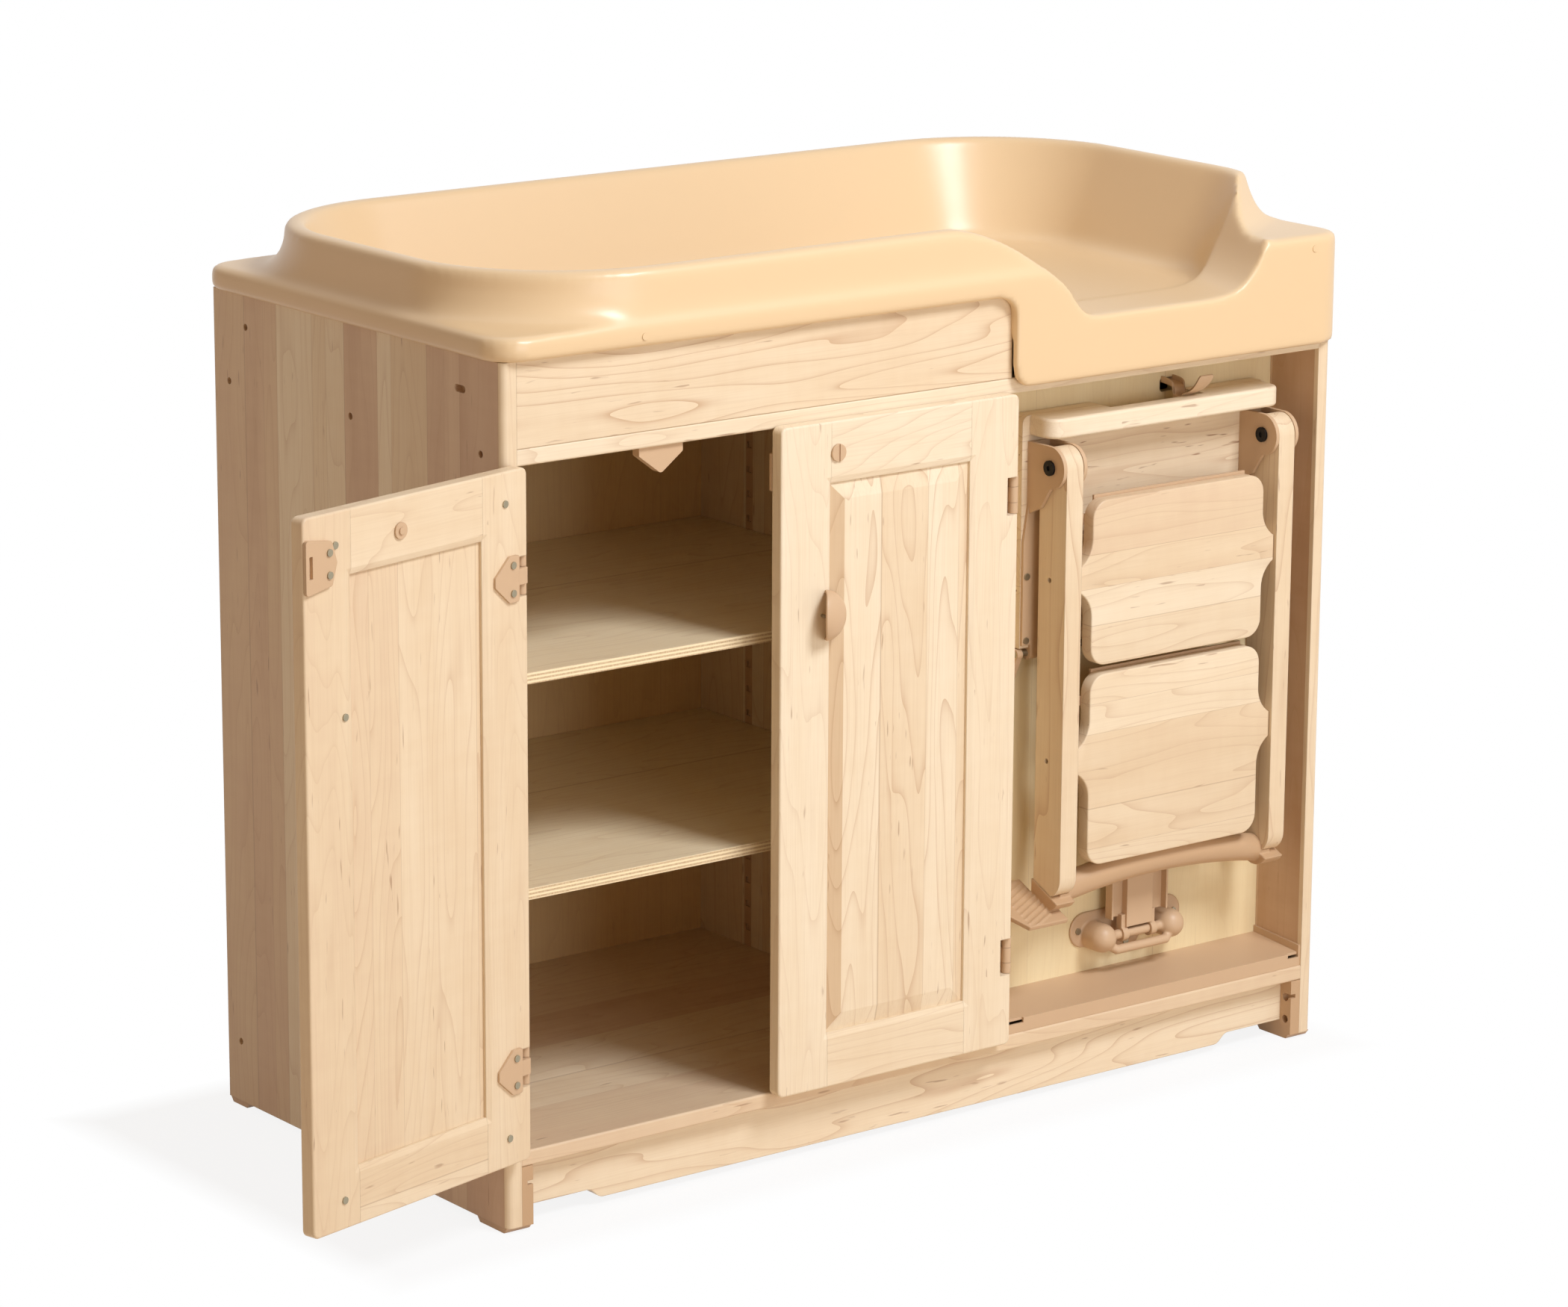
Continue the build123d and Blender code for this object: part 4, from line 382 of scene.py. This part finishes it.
def plastic(name, color, rough, grain, depth, edge=0.0008, coat=0.0):
    """Moulded plastic: fine texture, slow tone changes and slightly varied gloss."""
    mat, tree, bsdf = new_material(name)
    coords = surface_coords(tree)
    slow = noise(tree, coords, *PLASTIC_SLOW)
    fine = noise(tree, coords, (grain, grain, grain))
    dark = tuple(c * PLASTIC_DARK for c in color)
    base = mix_color(tree, times(tree, slow, PLASTIC_SLOW_SHARE), color, dark)
    pits = minus(tree, fine, PIT_FROM, clamp=True)
    base = mix_color(tree, times(tree, pits, PLASTIC_FINE_SHARE), base, dark)
    link(tree, base, bsdf.inputs["Base Color"])
    gloss = plus(tree, times(tree, slow, GLOSS_SPREAD), rough - GLOSS_SPREAD / 2)
    link(tree, gloss, bsdf.inputs["Roughness"])
    set_inputs(bsdf, {"Specular IOR Level": 0.42, "Coat Weight": coat, "Coat Roughness": 0.22})
    finish_normal(tree, bsdf, fine, depth, edge)
    return mat


def metal(name, color, rough):
    """Steel: small scratches that change tone and gloss."""
    mat, tree, bsdf = new_material(name)
    marks = noise(tree, surface_coords(tree), *METAL_MARKS)
    dark = tuple(c * METAL_DARK for c in color)
    base = mix_color(tree, times(tree, marks, SCRATCH * 2), color, dark)
    link(tree, base, bsdf.inputs["Base Color"])
    link(tree, plus(tree, times(tree, marks, SCRATCH), rough), bsdf.inputs["Roughness"])
    bsdf.inputs["Metallic"].default_value = 1.0
    finish_normal(tree, bsdf, marks, SCRATCH_DEPTH, METAL_EDGE)
    return mat


# ---------------------------------------------------------------- materials of the nodes

tub_plastic = plastic(
    "tub_plastic", (0.80, 0.585, 0.345), rough=0.36, grain=1300.0, depth=0.00005, edge=0.0, coat=0.15,
)
tan_plastic = plastic("tan_plastic", (0.62, 0.425, 0.262), rough=0.42, grain=1100.0, depth=0.00007)
tan_dark = plastic("tan_plastic_dark", (0.56, 0.365, 0.21), rough=0.42, grain=1100.0, depth=0.00007)
steel = metal("zinc_steel", (0.42, 0.36, 0.25), rough=0.30)
black_oxide = metal("black_oxide", (0.035, 0.032, 0.03), rough=0.35)

side_wood = wood(
    "maple_side", "Z", strips=0.046, across=2, seed=1.0, tone=0.42, spread=1.0, lines=0.4,
)
divider_wood = wood(
    "maple_divider", "Z", strips=0.07, across=2, seed=6.0, tone=0.66, spread=0.5, lines=0.5,
)
deck_wood = wood(
    "maple_deck", "X", strips=0.062, across=1, seed=2.0, tone=0.42, spread=0.5, lines=0.5,
)
top_wood = wood("maple_top", "X", seed=3.0, tone=0.80, spread=0.1, lines=0.4)
apron_wood = wood("maple_apron", "X", seed=4.3, tone=0.62, spread=0.1, lines=0.95, rings=17.0)
toe_wood = wood("maple_toe", "X", seed=5.1, tone=0.70, spread=0.1, lines=0.8)
shelf_wood = wood(
    "shelf_face", "X", strips=0.5, across=1, seed=4.0, tone=0.95, spread=0.1, lines=0.4,
    flecks=0.15, tint=(1.0, 0.97, 0.86), ply=True,
)
back_ply = wood(
    "back_ply", "Z", strips=0.42, across=1, seed=5.0, tone=0.9, spread=0.1, lines=0.2,
    flecks=0.1, tint=(1.06, 0.90, 0.64),
)
bay_ply = wood(
    "bay_ply", "Z", strips=0.3, across=1, seed=5.7, tone=0.86, spread=0.15, lines=0.12,
    flecks=0.1, fibre=0.15, tint=(1.0, 0.975, 0.80),
)
stile_wood = wood(
    "maple_stile", "Z", strips=0.35, across=1, seed=7.0, tone=0.76, spread=0.2, lines=0.3,
)
member_wood = wood(
    "maple_member", "X", strips=0.35, across=2, seed=8.0, tone=0.72, spread=0.2, lines=0.5,
)
# The right door's panel gets painted shade on its left-facing slope, in the colour given as slope
panel_wood_and_slope_shade = wood(
    "maple_panel", "Z", strips=0.075, across=1, seed=9.0, tone=0.68, spread=0.2, lines=0.7,
    slope_shade=(0.80, 0.70, 0.60),
)
stile_open = wood(
    "maple_stile_open", "Z", DOOR_TURN, strips=0.35, across=1, seed=10.0, tone=0.56, spread=0.2,
    lines=0.3,
)
member_open = wood(
    "maple_member_open", "X", DOOR_TURN, strips=0.35, across=2, seed=11.0, tone=0.56, spread=0.2,
    lines=0.45,
)
panel_open = wood(
    "maple_panel_open", "Z", DOOR_TURN, strips=0.075, across=1, seed=12.0, tone=0.58, spread=0.4,
    lines=0.5,
)
stringer_wood = wood(
    "maple_stringer", "Z", seed=13.0, tone=0.60, spread=0.1, lines=0.8, rings=13.0,
)
tread_wood = wood(
    "maple_tread", "X", strips=0.062, across=2, seed=14.0, tone=0.62, spread=0.5, lines=0.5,
    fibre=0.22,
)
platform_wood = wood(
    "maple_platform", "X", strips=0.11, across=2, seed=15.0, tone=0.52, spread=0.3, lines=0.7,
    flecks=0.8,
)
nosing_wood = wood(
    "maple_nosing", "X", strips=0.3, across=1, seed=16.0, tone=0.86, spread=0.1, lines=0.3,
)

# Nodes that aren't named here are of tan plastic
finishes = {
    "side_panel_left": side_wood,
    "side_panel_right": side_wood,
    "divider_panel": divider_wood,
    "bottom_deck": deck_wood,
    "top_board": top_wood,
    "apron_board": apron_wood,
    "toe_kick_board": toe_wood,
    "shelf_lower": shelf_wood,
    "shelf_upper": shelf_wood,
    "back_panel": back_ply,
    "bay_back_panel": bay_ply,
    "door_left_stiles": stile_open,
    "door_left_members": member_open,
    "door_left_panel": panel_open,
    "door_right_stiles": stile_wood,
    "door_right_members": member_wood,
    "door_right_panel": panel_wood_and_slope_shade,
    "stringer_left": stringer_wood,
    "stringer_right": stringer_wood,
    "tread_upper": tread_wood,
    "tread_lower": tread_wood,
    "platform_board": platform_wood,
    "nosing_board": nosing_wood,
    "changing_tub": tub_plastic,
    "tub_plugs": tub_plastic,
    "foot_bar": tan_dark,
    "foot_bracket_left": tan_dark,
    "foot_bracket_right": tan_dark,
    "stringer_bolts": black_oxide,
    "hinge_pins": steel,
    "hinge_rod": steel,
    "door_left_screws": steel,
    "door_right_screws": steel,
    "bracket_screws": steel,
    "strap_bracket_screws": steel,
    "tread_pins": steel,
}
NODE_SHARP = radians(30)
for name, obj in nodes.items():
    obj.data.materials.clear()
    obj.data.materials.append(finishes.get(name, tan_plastic))
    obj.data.polygons.foreach_set("use_smooth", [True] * len(obj.data.polygons))
    obj.data.set_sharp_from_angle(angle=NODE_SHARP)


# ---------------------------------------------------------------- moulded pieces

# Edges that turn by more than this are shaded sharp
BOARD_SHARP = radians(35)
KNOB_SHARP = radians(50)
MOULDED_SHARP = radians(70)
ROD_SIDES = 24
SMOOTHING = 0.5


def add_piece(name, mesh, body, material, replaced, sharp=BOARD_SHARP):
    """A new piece of the scene in place of a CAD node."""
    mesh.materials.clear()
    mesh.materials.append(material)
    mesh.polygons.foreach_set("use_smooth", [True] * len(mesh.polygons))
    mesh.set_sharp_from_angle(angle=sharp)
    obj = bpy.data.objects.new(name, mesh)
    bpy.context.scene.collection.objects.link(obj)
    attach(obj, body)
    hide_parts(replaced)


def work_object(name, bm):
    """A bmesh as an object that can take modifiers."""
    mesh = bpy.data.meshes.new(name + "_work")
    bm.to_mesh(mesh)
    bm.free()
    obj = bpy.data.objects.new(name + "_work", mesh)
    bpy.context.scene.collection.objects.link(obj)
    return obj


def applied(obj):
    """The object's mesh with its modifiers worked in."""
    bpy.context.view_layer.update()
    graph = bpy.context.evaluated_depsgraph_get()
    mesh = bpy.data.meshes.new_from_object(obj.evaluated_get(graph))
    bpy.data.objects.remove(obj)
    return mesh


def moulded(node_name, voxel, rounds, rods=(), rod_radius=0.0):
    """A CAD solid with rods added, remeshed and smoothed, so that its lips and folds roll."""
    bm = bmesh.new()
    bm.from_mesh(nodes[node_name].data)
    for a, b in rods:
        start, end = Vector(a), Vector(b)
        turned = (end - start).to_track_quat("Z", "Y").to_matrix().to_4x4()
        bmesh.ops.create_cone(
            bm,
            cap_ends=True,
            segments=ROD_SIDES,
            radius1=rod_radius,
            radius2=rod_radius,
            depth=(end - start).length,
            matrix=Matrix.Translation((start + end) / 2) @ turned,
        )
    obj = work_object(node_name, bm)
    remesh = obj.modifiers.new("remesh", "REMESH")
    remesh.mode = "VOXEL"
    remesh.voxel_size = voxel
    smooth = obj.modifiers.new("smooth", "SMOOTH")
    smooth.factor = SMOOTHING
    smooth.iterations = rounds
    return applied(obj)


add_piece(
    "moulded_tub",
    moulded("changing_tub", voxel=0.0045, rounds=7),
    "cabinet",
    tub_plastic,
    "changing_tub",
    MOULDED_SHARP,
)
add_piece(
    "moulded_foot_bar",
    moulded("foot_bar", voxel=0.0009, rounds=3),
    "stringers",
    tan_dark,
    "foot_bar",
    MOULDED_SHARP,
)

# The bracket's front bar runs under the strap from dome to dome, in three runs that overlap
BAR_RADIUS = 0.0056
BAR_Y, BAR_Z = 0.0205, 0.147
DOME_Y, DOME_Z = 0.028, 0.157
DOME_REACH = 0.054
BEND_REACH = 0.040
OVERLAP = 0.001


def bar_end(reach):
    return STAIR_MIDDLE + reach, BAR_Y, BAR_Z


def dome(reach):
    return STAIR_MIDDLE + reach, DOME_Y, DOME_Z


bracket_bar = (
    (dome(-DOME_REACH), bar_end(OVERLAP - BEND_REACH)),
    (bar_end(-OVERLAP - BEND_REACH), bar_end(BEND_REACH + OVERLAP)),
    (bar_end(BEND_REACH - OVERLAP), dome(DOME_REACH)),
)
add_piece(
    "moulded_strap_bracket",
    moulded("strap_bracket", voxel=0.0013, rounds=4, rods=bracket_bar, rod_radius=BAR_RADIUS),
    "cabinet",
    tan_plastic,
    "strap_bracket",
    MOULDED_SHARP,
)


# ---------------------------------------------------------------- tread boards

TREAD_HALF = 0.1335
LOBE_REACH = 0.1515
CORNER_RADIUS = 0.022
COVE_RADIUS = 0.037
COVE_START = 0.047
TREAD_EDGE = 0.0016
EDGE_STEPS = 3
ARC_STEPS = 8
# Coordinates closer than this are the same
SAME_PLACE = 1e-6


def arc(x, z, radius, first, last):
    """Points on an arc round a centre, from one angle to another."""
    angles = [first + (last - first) * i / ARC_STEPS for i in range(ARC_STEPS + 1)]
    return [(x + radius * cos(angle), z + radius * sin(angle)) for angle in angles]


def tread_outline(low, high, pivot_z):
    """Points round a tread board: rounded corners, and a cove above and below each square lobe."""
    corner_x = TREAD_HALF - CORNER_RADIUS
    cove_x = TREAD_HALF + COVE_RADIUS
    turn = acos((cove_x - LOBE_REACH) / COVE_RADIUS)
    right = (
        arc(corner_x, low + CORNER_RADIUS, CORNER_RADIUS, -pi / 2, 0)
        + arc(cove_x, pivot_z - COVE_START, COVE_RADIUS, pi, pi - turn)
        + arc(cove_x, pivot_z + COVE_START, COVE_RADIUS, pi + turn, pi)
        + arc(corner_x, high - CORNER_RADIUS, CORNER_RADIUS, 0, pi / 2)
    )
    return right + [(-x, z) for x, z in reversed(right)]


def board_mesh(name, outline, y0, y1):
    """A board cut to an outline, with its rims rounded over."""
    bm = bmesh.new()
    front = [bm.verts.new((STAIR_MIDDLE + x, y0, z)) for x, z in outline]
    back = [bm.verts.new((STAIR_MIDDLE + x, y1, z)) for x, z in outline]
    bm.faces.new(front)
    bm.faces.new(back[::-1])
    for a, b, c, d in zip(front, front[1:] + front[:1], back, back[1:] + back[:1]):
        bm.faces.new((b, a, c, d))
    bmesh.ops.recalc_face_normals(bm, faces=bm.faces)
    rims = [e for e in bm.edges if abs(e.verts[0].co.y - e.verts[1].co.y) < SAME_PLACE]
    bmesh.ops.bevel(
        bm,
        geom=rims,
        offset=TREAD_EDGE,
        offset_type="OFFSET",
        segments=EDGE_STEPS,
        profile=0.5,
        affect="EDGES",
    )
    mesh = bpy.data.meshes.new(name)
    bm.to_mesh(mesh)
    bm.free()
    return mesh


for level in ("upper", "lower"):
    lo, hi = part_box("tread_" + level)
    name = "tread_board_" + level
    mesh = board_mesh(name, tread_outline(lo.z, hi.z, places[f"tread_{level}_pivot"][2]), lo.y, hi.y)
    add_piece(name, mesh, level + "_tread", tread_wood, "tread_" + level)


# ---------------------------------------------------------------- knobs and latch

# A sheet's rim is softened by a share of its thickness, where it turns by more than an angle
SHEET_EDGE_SHARE = 0.3
SHEET_EDGE_STEPS = 2
SHEET_CORNER = radians(50)
MERGE_WITHIN = 1e-5


def sheet_mesh(name, rows, thickness, inward):
    """A sheet through rows of points, given its thickness on the side that inward points to."""
    bm = bmesh.new()
    grid = [[bm.verts.new(p) for p in row] for row in rows]
    for a, b in zip(grid, grid[1:]):
        for i in range(len(a) - 1):
            bm.faces.new((a[i], a[i + 1], b[i + 1], b[i]))
    bmesh.ops.remove_doubles(bm, verts=bm.verts, dist=MERGE_WITHIN)
    bm.normal_update()
    facing = sum(f.normal.dot(inward(f.calc_center_median())) * f.calc_area() for f in bm.faces)
    if facing > 0:
        bmesh.ops.reverse_faces(bm, faces=bm.faces)
    obj = work_object(name, bm)
    solid = obj.modifiers.new("solid", "SOLIDIFY")
    solid.thickness = thickness
    solid.offset = -1
    solid.use_even_offset = True
    soft = obj.modifiers.new("soft", "BEVEL")
    soft.width = thickness * SHEET_EDGE_SHARE
    soft.segments = SHEET_EDGE_STEPS
    soft.limit_method = "ANGLE"
    soft.angle_limit = SHEET_CORNER
    made = applied(obj)
    made.name = name
    return made


# Knobs: a half dome whose lip leans out towards the free edge
KNOB_REACH = 0.279
KNOB_Z = 0.647
KNOB_HALF = 0.0287
KNOB_DEEP = 0.026
KNOB_HIGH = 0.025
KNOB_LEAN = 0.016
KNOB_WALL = 0.003
KNOB_ROWS, KNOB_COLUMNS = 28, 12
# Below 1, both make the dome fuller
KNOB_TOP_POWER, KNOB_SIDE_POWER = 0.8, 0.9


def door_spot(hinge, turn, way):
    """Places on a door: reach from the hinge, height, and distance out from mid-thickness."""
    across = Vector((way * cos(turn), way * sin(turn), 0))
    outward = Vector((sin(turn), -cos(turn), 0))
    base = Vector((hinge[0], hinge[1], 0))
    return lambda reach, z, out: base + across * reach + outward * out + Vector((0, 0, z))


def knob_rows(spot):
    """Rows over a knob, each from its lip to its foot, from the lowest to the highest."""
    rows = []
    for i in range(KNOB_ROWS + 1):
        rise = -pi / 2 + pi * i / KNOB_ROWS
        wide = max(cos(rise), 0.0)
        z = KNOB_Z + KNOB_HALF * sin(rise)
        lip = KNOB_REACH + KNOB_LEAN * wide
        foot = KNOB_REACH - KNOB_DEEP * wide
        top = KNOB_HIGH * wide ** KNOB_TOP_POWER
        row = []
        for j in range(KNOB_COLUMNS + 1):
            t = pi / 2 * j / KNOB_COLUMNS
            reach = lip + (foot - lip) * cos(t) ** KNOB_SIDE_POWER
            row.append(spot(reach, z, HALF_DOOR + top * sin(t)))
        rows.append(row)
    return rows


# Shut, the right door reaches from its hinge to the left, and the left one to the right
for side, turn, way in (("right", 0.0, -1), ("left", DOOR_TURN, 1)):
    spot = door_spot(places[f"door_{side}_hinge"], turn, way)
    core = spot(KNOB_REACH, KNOB_Z, HALF_DOOR)
    name = "knob_" + side
    mesh = sheet_mesh(name, knob_rows(spot), KNOB_WALL, lambda p, core=core: core - p)
    add_piece(name, mesh, "door_" + side, tan_plastic, f"door_{side}_knob", KNOB_SHARP)


# Latch: a channel out of its slot that steps down and ends in a curved paddle
# (y, z, half width, flange height), in millimetres
LATCH_PATH = (
    (58.5, 828.0, 10.0, 8.0),
    (46.0, 827.5, 10.0, 8.0),
    (36.0, 826.0, 10.0, 8.0),
    (32.0, 824.0, 10.0, 6.5),
    (31.0, 816.0, 10.0, 6.0),
    (30.0, 811.5, 10.0, 6.0),
    (24.0, 811.0, 10.0, 5.5),
    (18.0, 813.0, 10.0, 4.0),
    (12.5, 819.5, 10.0, 2.5),
    (4.0, 823.0, 10.0, 1.2),
    (-5.0, 828.5, 10.6, 0.6),
    (-13.0, 837.0, 11.4, 0.5),
    (-17.0, 843.5, 11.4, 0.5),
    (-18.2, 845.8, 10.0, 0.5),
)
# The fold between floor and flange, and how far its middle point stays off the corner
LATCH_FOLD = 2.0
FOLD_SHARE = 0.3
LATCH_ROUNDINGS = 2
LATCH_WALL = 0.0024
LATCH_INSIDE = Vector((0, -0.3, 1))
MM_PER_METRE = 1000


def softened(points, rounds):
    """Corners cut off again and again, with both ends kept."""
    for _ in range(rounds):
        cut = [points[0]]
        for a, b in zip(points, points[1:]):
            for share in (0.25, 0.75):
                cut.append(tuple(p * (1 - share) + q * share for p, q in zip(a, b)))
        points = cut + [points[-1]]
    return points


def latch_rows():
    """Sections of the latch along its path: a floor with a flange on each side."""
    stations = softened(list(LATCH_PATH), LATCH_ROUNDINGS)
    rows = []
    for i, (y, z, half, rise) in enumerate(stations):
        before = stations[max(i - 1, 0)]
        after = stations[min(i + 1, len(stations) - 1)]
        ahead = Vector((0, after[0] - before[0], after[1] - before[1])).normalized()
        # Flanges stay upright at the step, and the low rim turns with the paddle
        up = Vector((0, 0, 1)) if rise > 1 else Vector((-1, 0, 0)).cross(ahead)
        fold = min(LATCH_FOLD, rise / 2)
        left = (
            (-half, rise),
            (-half, fold),
            (-half + fold * FOLD_SHARE, fold * FOLD_SHARE),
            (-half + fold, 0),
        )
        section = (*left, (0, 0), *((-x, h) for x, h in reversed(left)))
        middle = LATCH_X * MM_PER_METRE
        rows.append([(Vector((middle + x, y, z)) + up * h) / MM_PER_METRE for x, h in section])
    return rows


mesh = sheet_mesh("latch_channel", latch_rows(), LATCH_WALL, lambda p: LATCH_INSIDE)
add_piece("latch_channel", mesh, "latch", tan_plastic, "latch_hook")


# ---------------------------------------------------------------- world and floor

# The world is white where it is seen, and a weak warm light elsewhere
WORLD_LIGHT = 0.30
WORLD_WARM = (1.0, 0.72, 0.46)
WHITE = (1.0, 1.0, 1.0)
FLOOR_SIZE = 30.0
# Under the object the floor bounces warm light, and is seen pale with a soft shadow
FLOOR_BOUNCE = (0.80, 0.66, 0.49)
FLOOR_SEEN = (0.86, 0.86, 0.86)
# White takes over from this box round the object, in a share that grows over the fade
NEAR_MIDDLE = (0.5, 0.25)
NEAR_HALF = (0.68, 0.32)
NEAR_SHARE = 0.87
FADE = 0.4


def seen_by(tree, *kinds):
    """1 for the named kinds of ray, and 0 for those that light the object."""
    paths = node(tree, "ShaderNodeLightPath").outputs
    seen = paths[kinds[0]]
    for kind in kinds[1:]:
        seen = calc(tree, "MAXIMUM", seen, paths[kind])
    return seen


world = bpy.data.worlds.new("studio")
bpy.context.scene.world = world
world.use_nodes = True
tree = world.node_tree
background = tree.nodes["Background"]
seen = seen_by(tree, "Is Camera Ray", "Is Glossy Ray", "Is Transmission Ray")
link(tree, mix_color(tree, seen, WORLD_WARM, WHITE), background.inputs["Color"])
strength = plus(tree, times(tree, seen, 1.0 - WORLD_LIGHT), WORLD_LIGHT)
link(tree, strength, background.inputs["Strength"])

bpy.ops.mesh.primitive_plane_add(size=FLOOR_SIZE, location=(0, 0, 0))
floor = bpy.context.object
floor.name = "floor"
mat, tree, bsdf = new_material("floor_white")
seen = seen_by(tree, "Is Camera Ray", "Is Glossy Ray")
link(tree, mix_color(tree, seen, FLOOR_BOUNCE, FLOOR_SEEN), bsdf.inputs["Base Color"])
set_inputs(bsdf, {"Roughness": 0.9, "Specular IOR Level": 0.1})
emit = node(tree, "ShaderNodeEmission")
set_inputs(emit, {"Color": (*WHITE, 1), "Strength": 1.0})
spot = split(tree, surface_coords(tree))
away = [
    minus(tree, calc(tree, "ABSOLUTE", minus(tree, spot[axis], NEAR_MIDDLE[axis])), NEAR_HALF[axis])
    for axis in (0, 1)
]
away = calc(tree, "MAXIMUM", calc(tree, "MAXIMUM", *away), 0.0)
share = plus(tree, calc(tree, "DIVIDE", away, FADE), NEAR_SHARE, clamp=True)
blend = node(tree, "ShaderNodeMixShader")
link(tree, times(tree, share, seen), blend.inputs[0])
link(tree, bsdf.outputs[0], blend.inputs[1])
link(tree, emit.outputs[0], blend.inputs[2])
link(tree, blend.outputs[0], tree.nodes["Material Output"].inputs["Surface"])
floor.data.materials.append(mat)


# ---------------------------------------------------------------- lamps and camera

LAMP_TARGET = (0.55, 0.1, 0.5)


def looking(direction):
    """The turn of a lamp or camera that looks along a direction."""
    return direction.to_track_quat("-Z", "Y").to_euler()


def area_light(name, place, size, power, color):
    """A soft lamp, in metres and watts, aimed at the middle of the object."""
    data = bpy.data.lights.new(name, "AREA")
    data.shape = "RECTANGLE"
    data.size, data.size_y = size
    data.energy = power
    data.color = color
    obj = bpy.data.objects.new(name, data)
    bpy.context.scene.collection.objects.link(obj)
    obj.location = place
    obj.rotation_euler = looking(Vector(LAMP_TARGET) - Vector(place))


area_light("key", (1.3, -2.9, 4.0), (1.4, 1.4), 152, (0.96, 1.02, 1.11))
area_light("front_fill", (0.2, -4.4, 1.2), (2.4, 2.0), 50, (0.97, 1.02, 1.10))
area_light("left_fill", (-4.2, 0.4, 1.8), (2.6, 2.6), 7, (1.0, 0.80, 0.60))
area_light("top", (0.8, 1.2, 4.2), (3.0, 3.0), 12, (1.0, 0.98, 0.95))

IMAGE_WIDTH = 2100
FOCAL_PIXELS = 7171.2
SENSOR = 36.0
CAMERA_PLACE = (-3.1707, -4.6351, 2.0410)
AZIMUTH = radians(37.5)
ELEVATION = radians(13.9)
ROLL = radians(0.3)

camera_data = bpy.data.cameras.new("camera")
camera_data.sensor_fit = "HORIZONTAL"
camera_data.sensor_width = SENSOR
camera_data.lens = FOCAL_PIXELS / IMAGE_WIDTH * SENSOR
camera_data.clip_start = 0.1
camera_data.clip_end = 60
camera = bpy.data.objects.new("camera", camera_data)
bpy.context.scene.collection.objects.link(camera)
bpy.context.scene.camera = camera
camera.location = CAMERA_PLACE
level_reach = cos(ELEVATION)
forward = Vector((sin(AZIMUTH) * level_reach, cos(AZIMUTH) * level_reach, -sin(ELEVATION)))
camera.rotation_euler = looking(forward)
camera.rotation_euler.rotate_axis("Z", ROLL)

bpy.context.scene.view_settings.view_transform = "Standard"
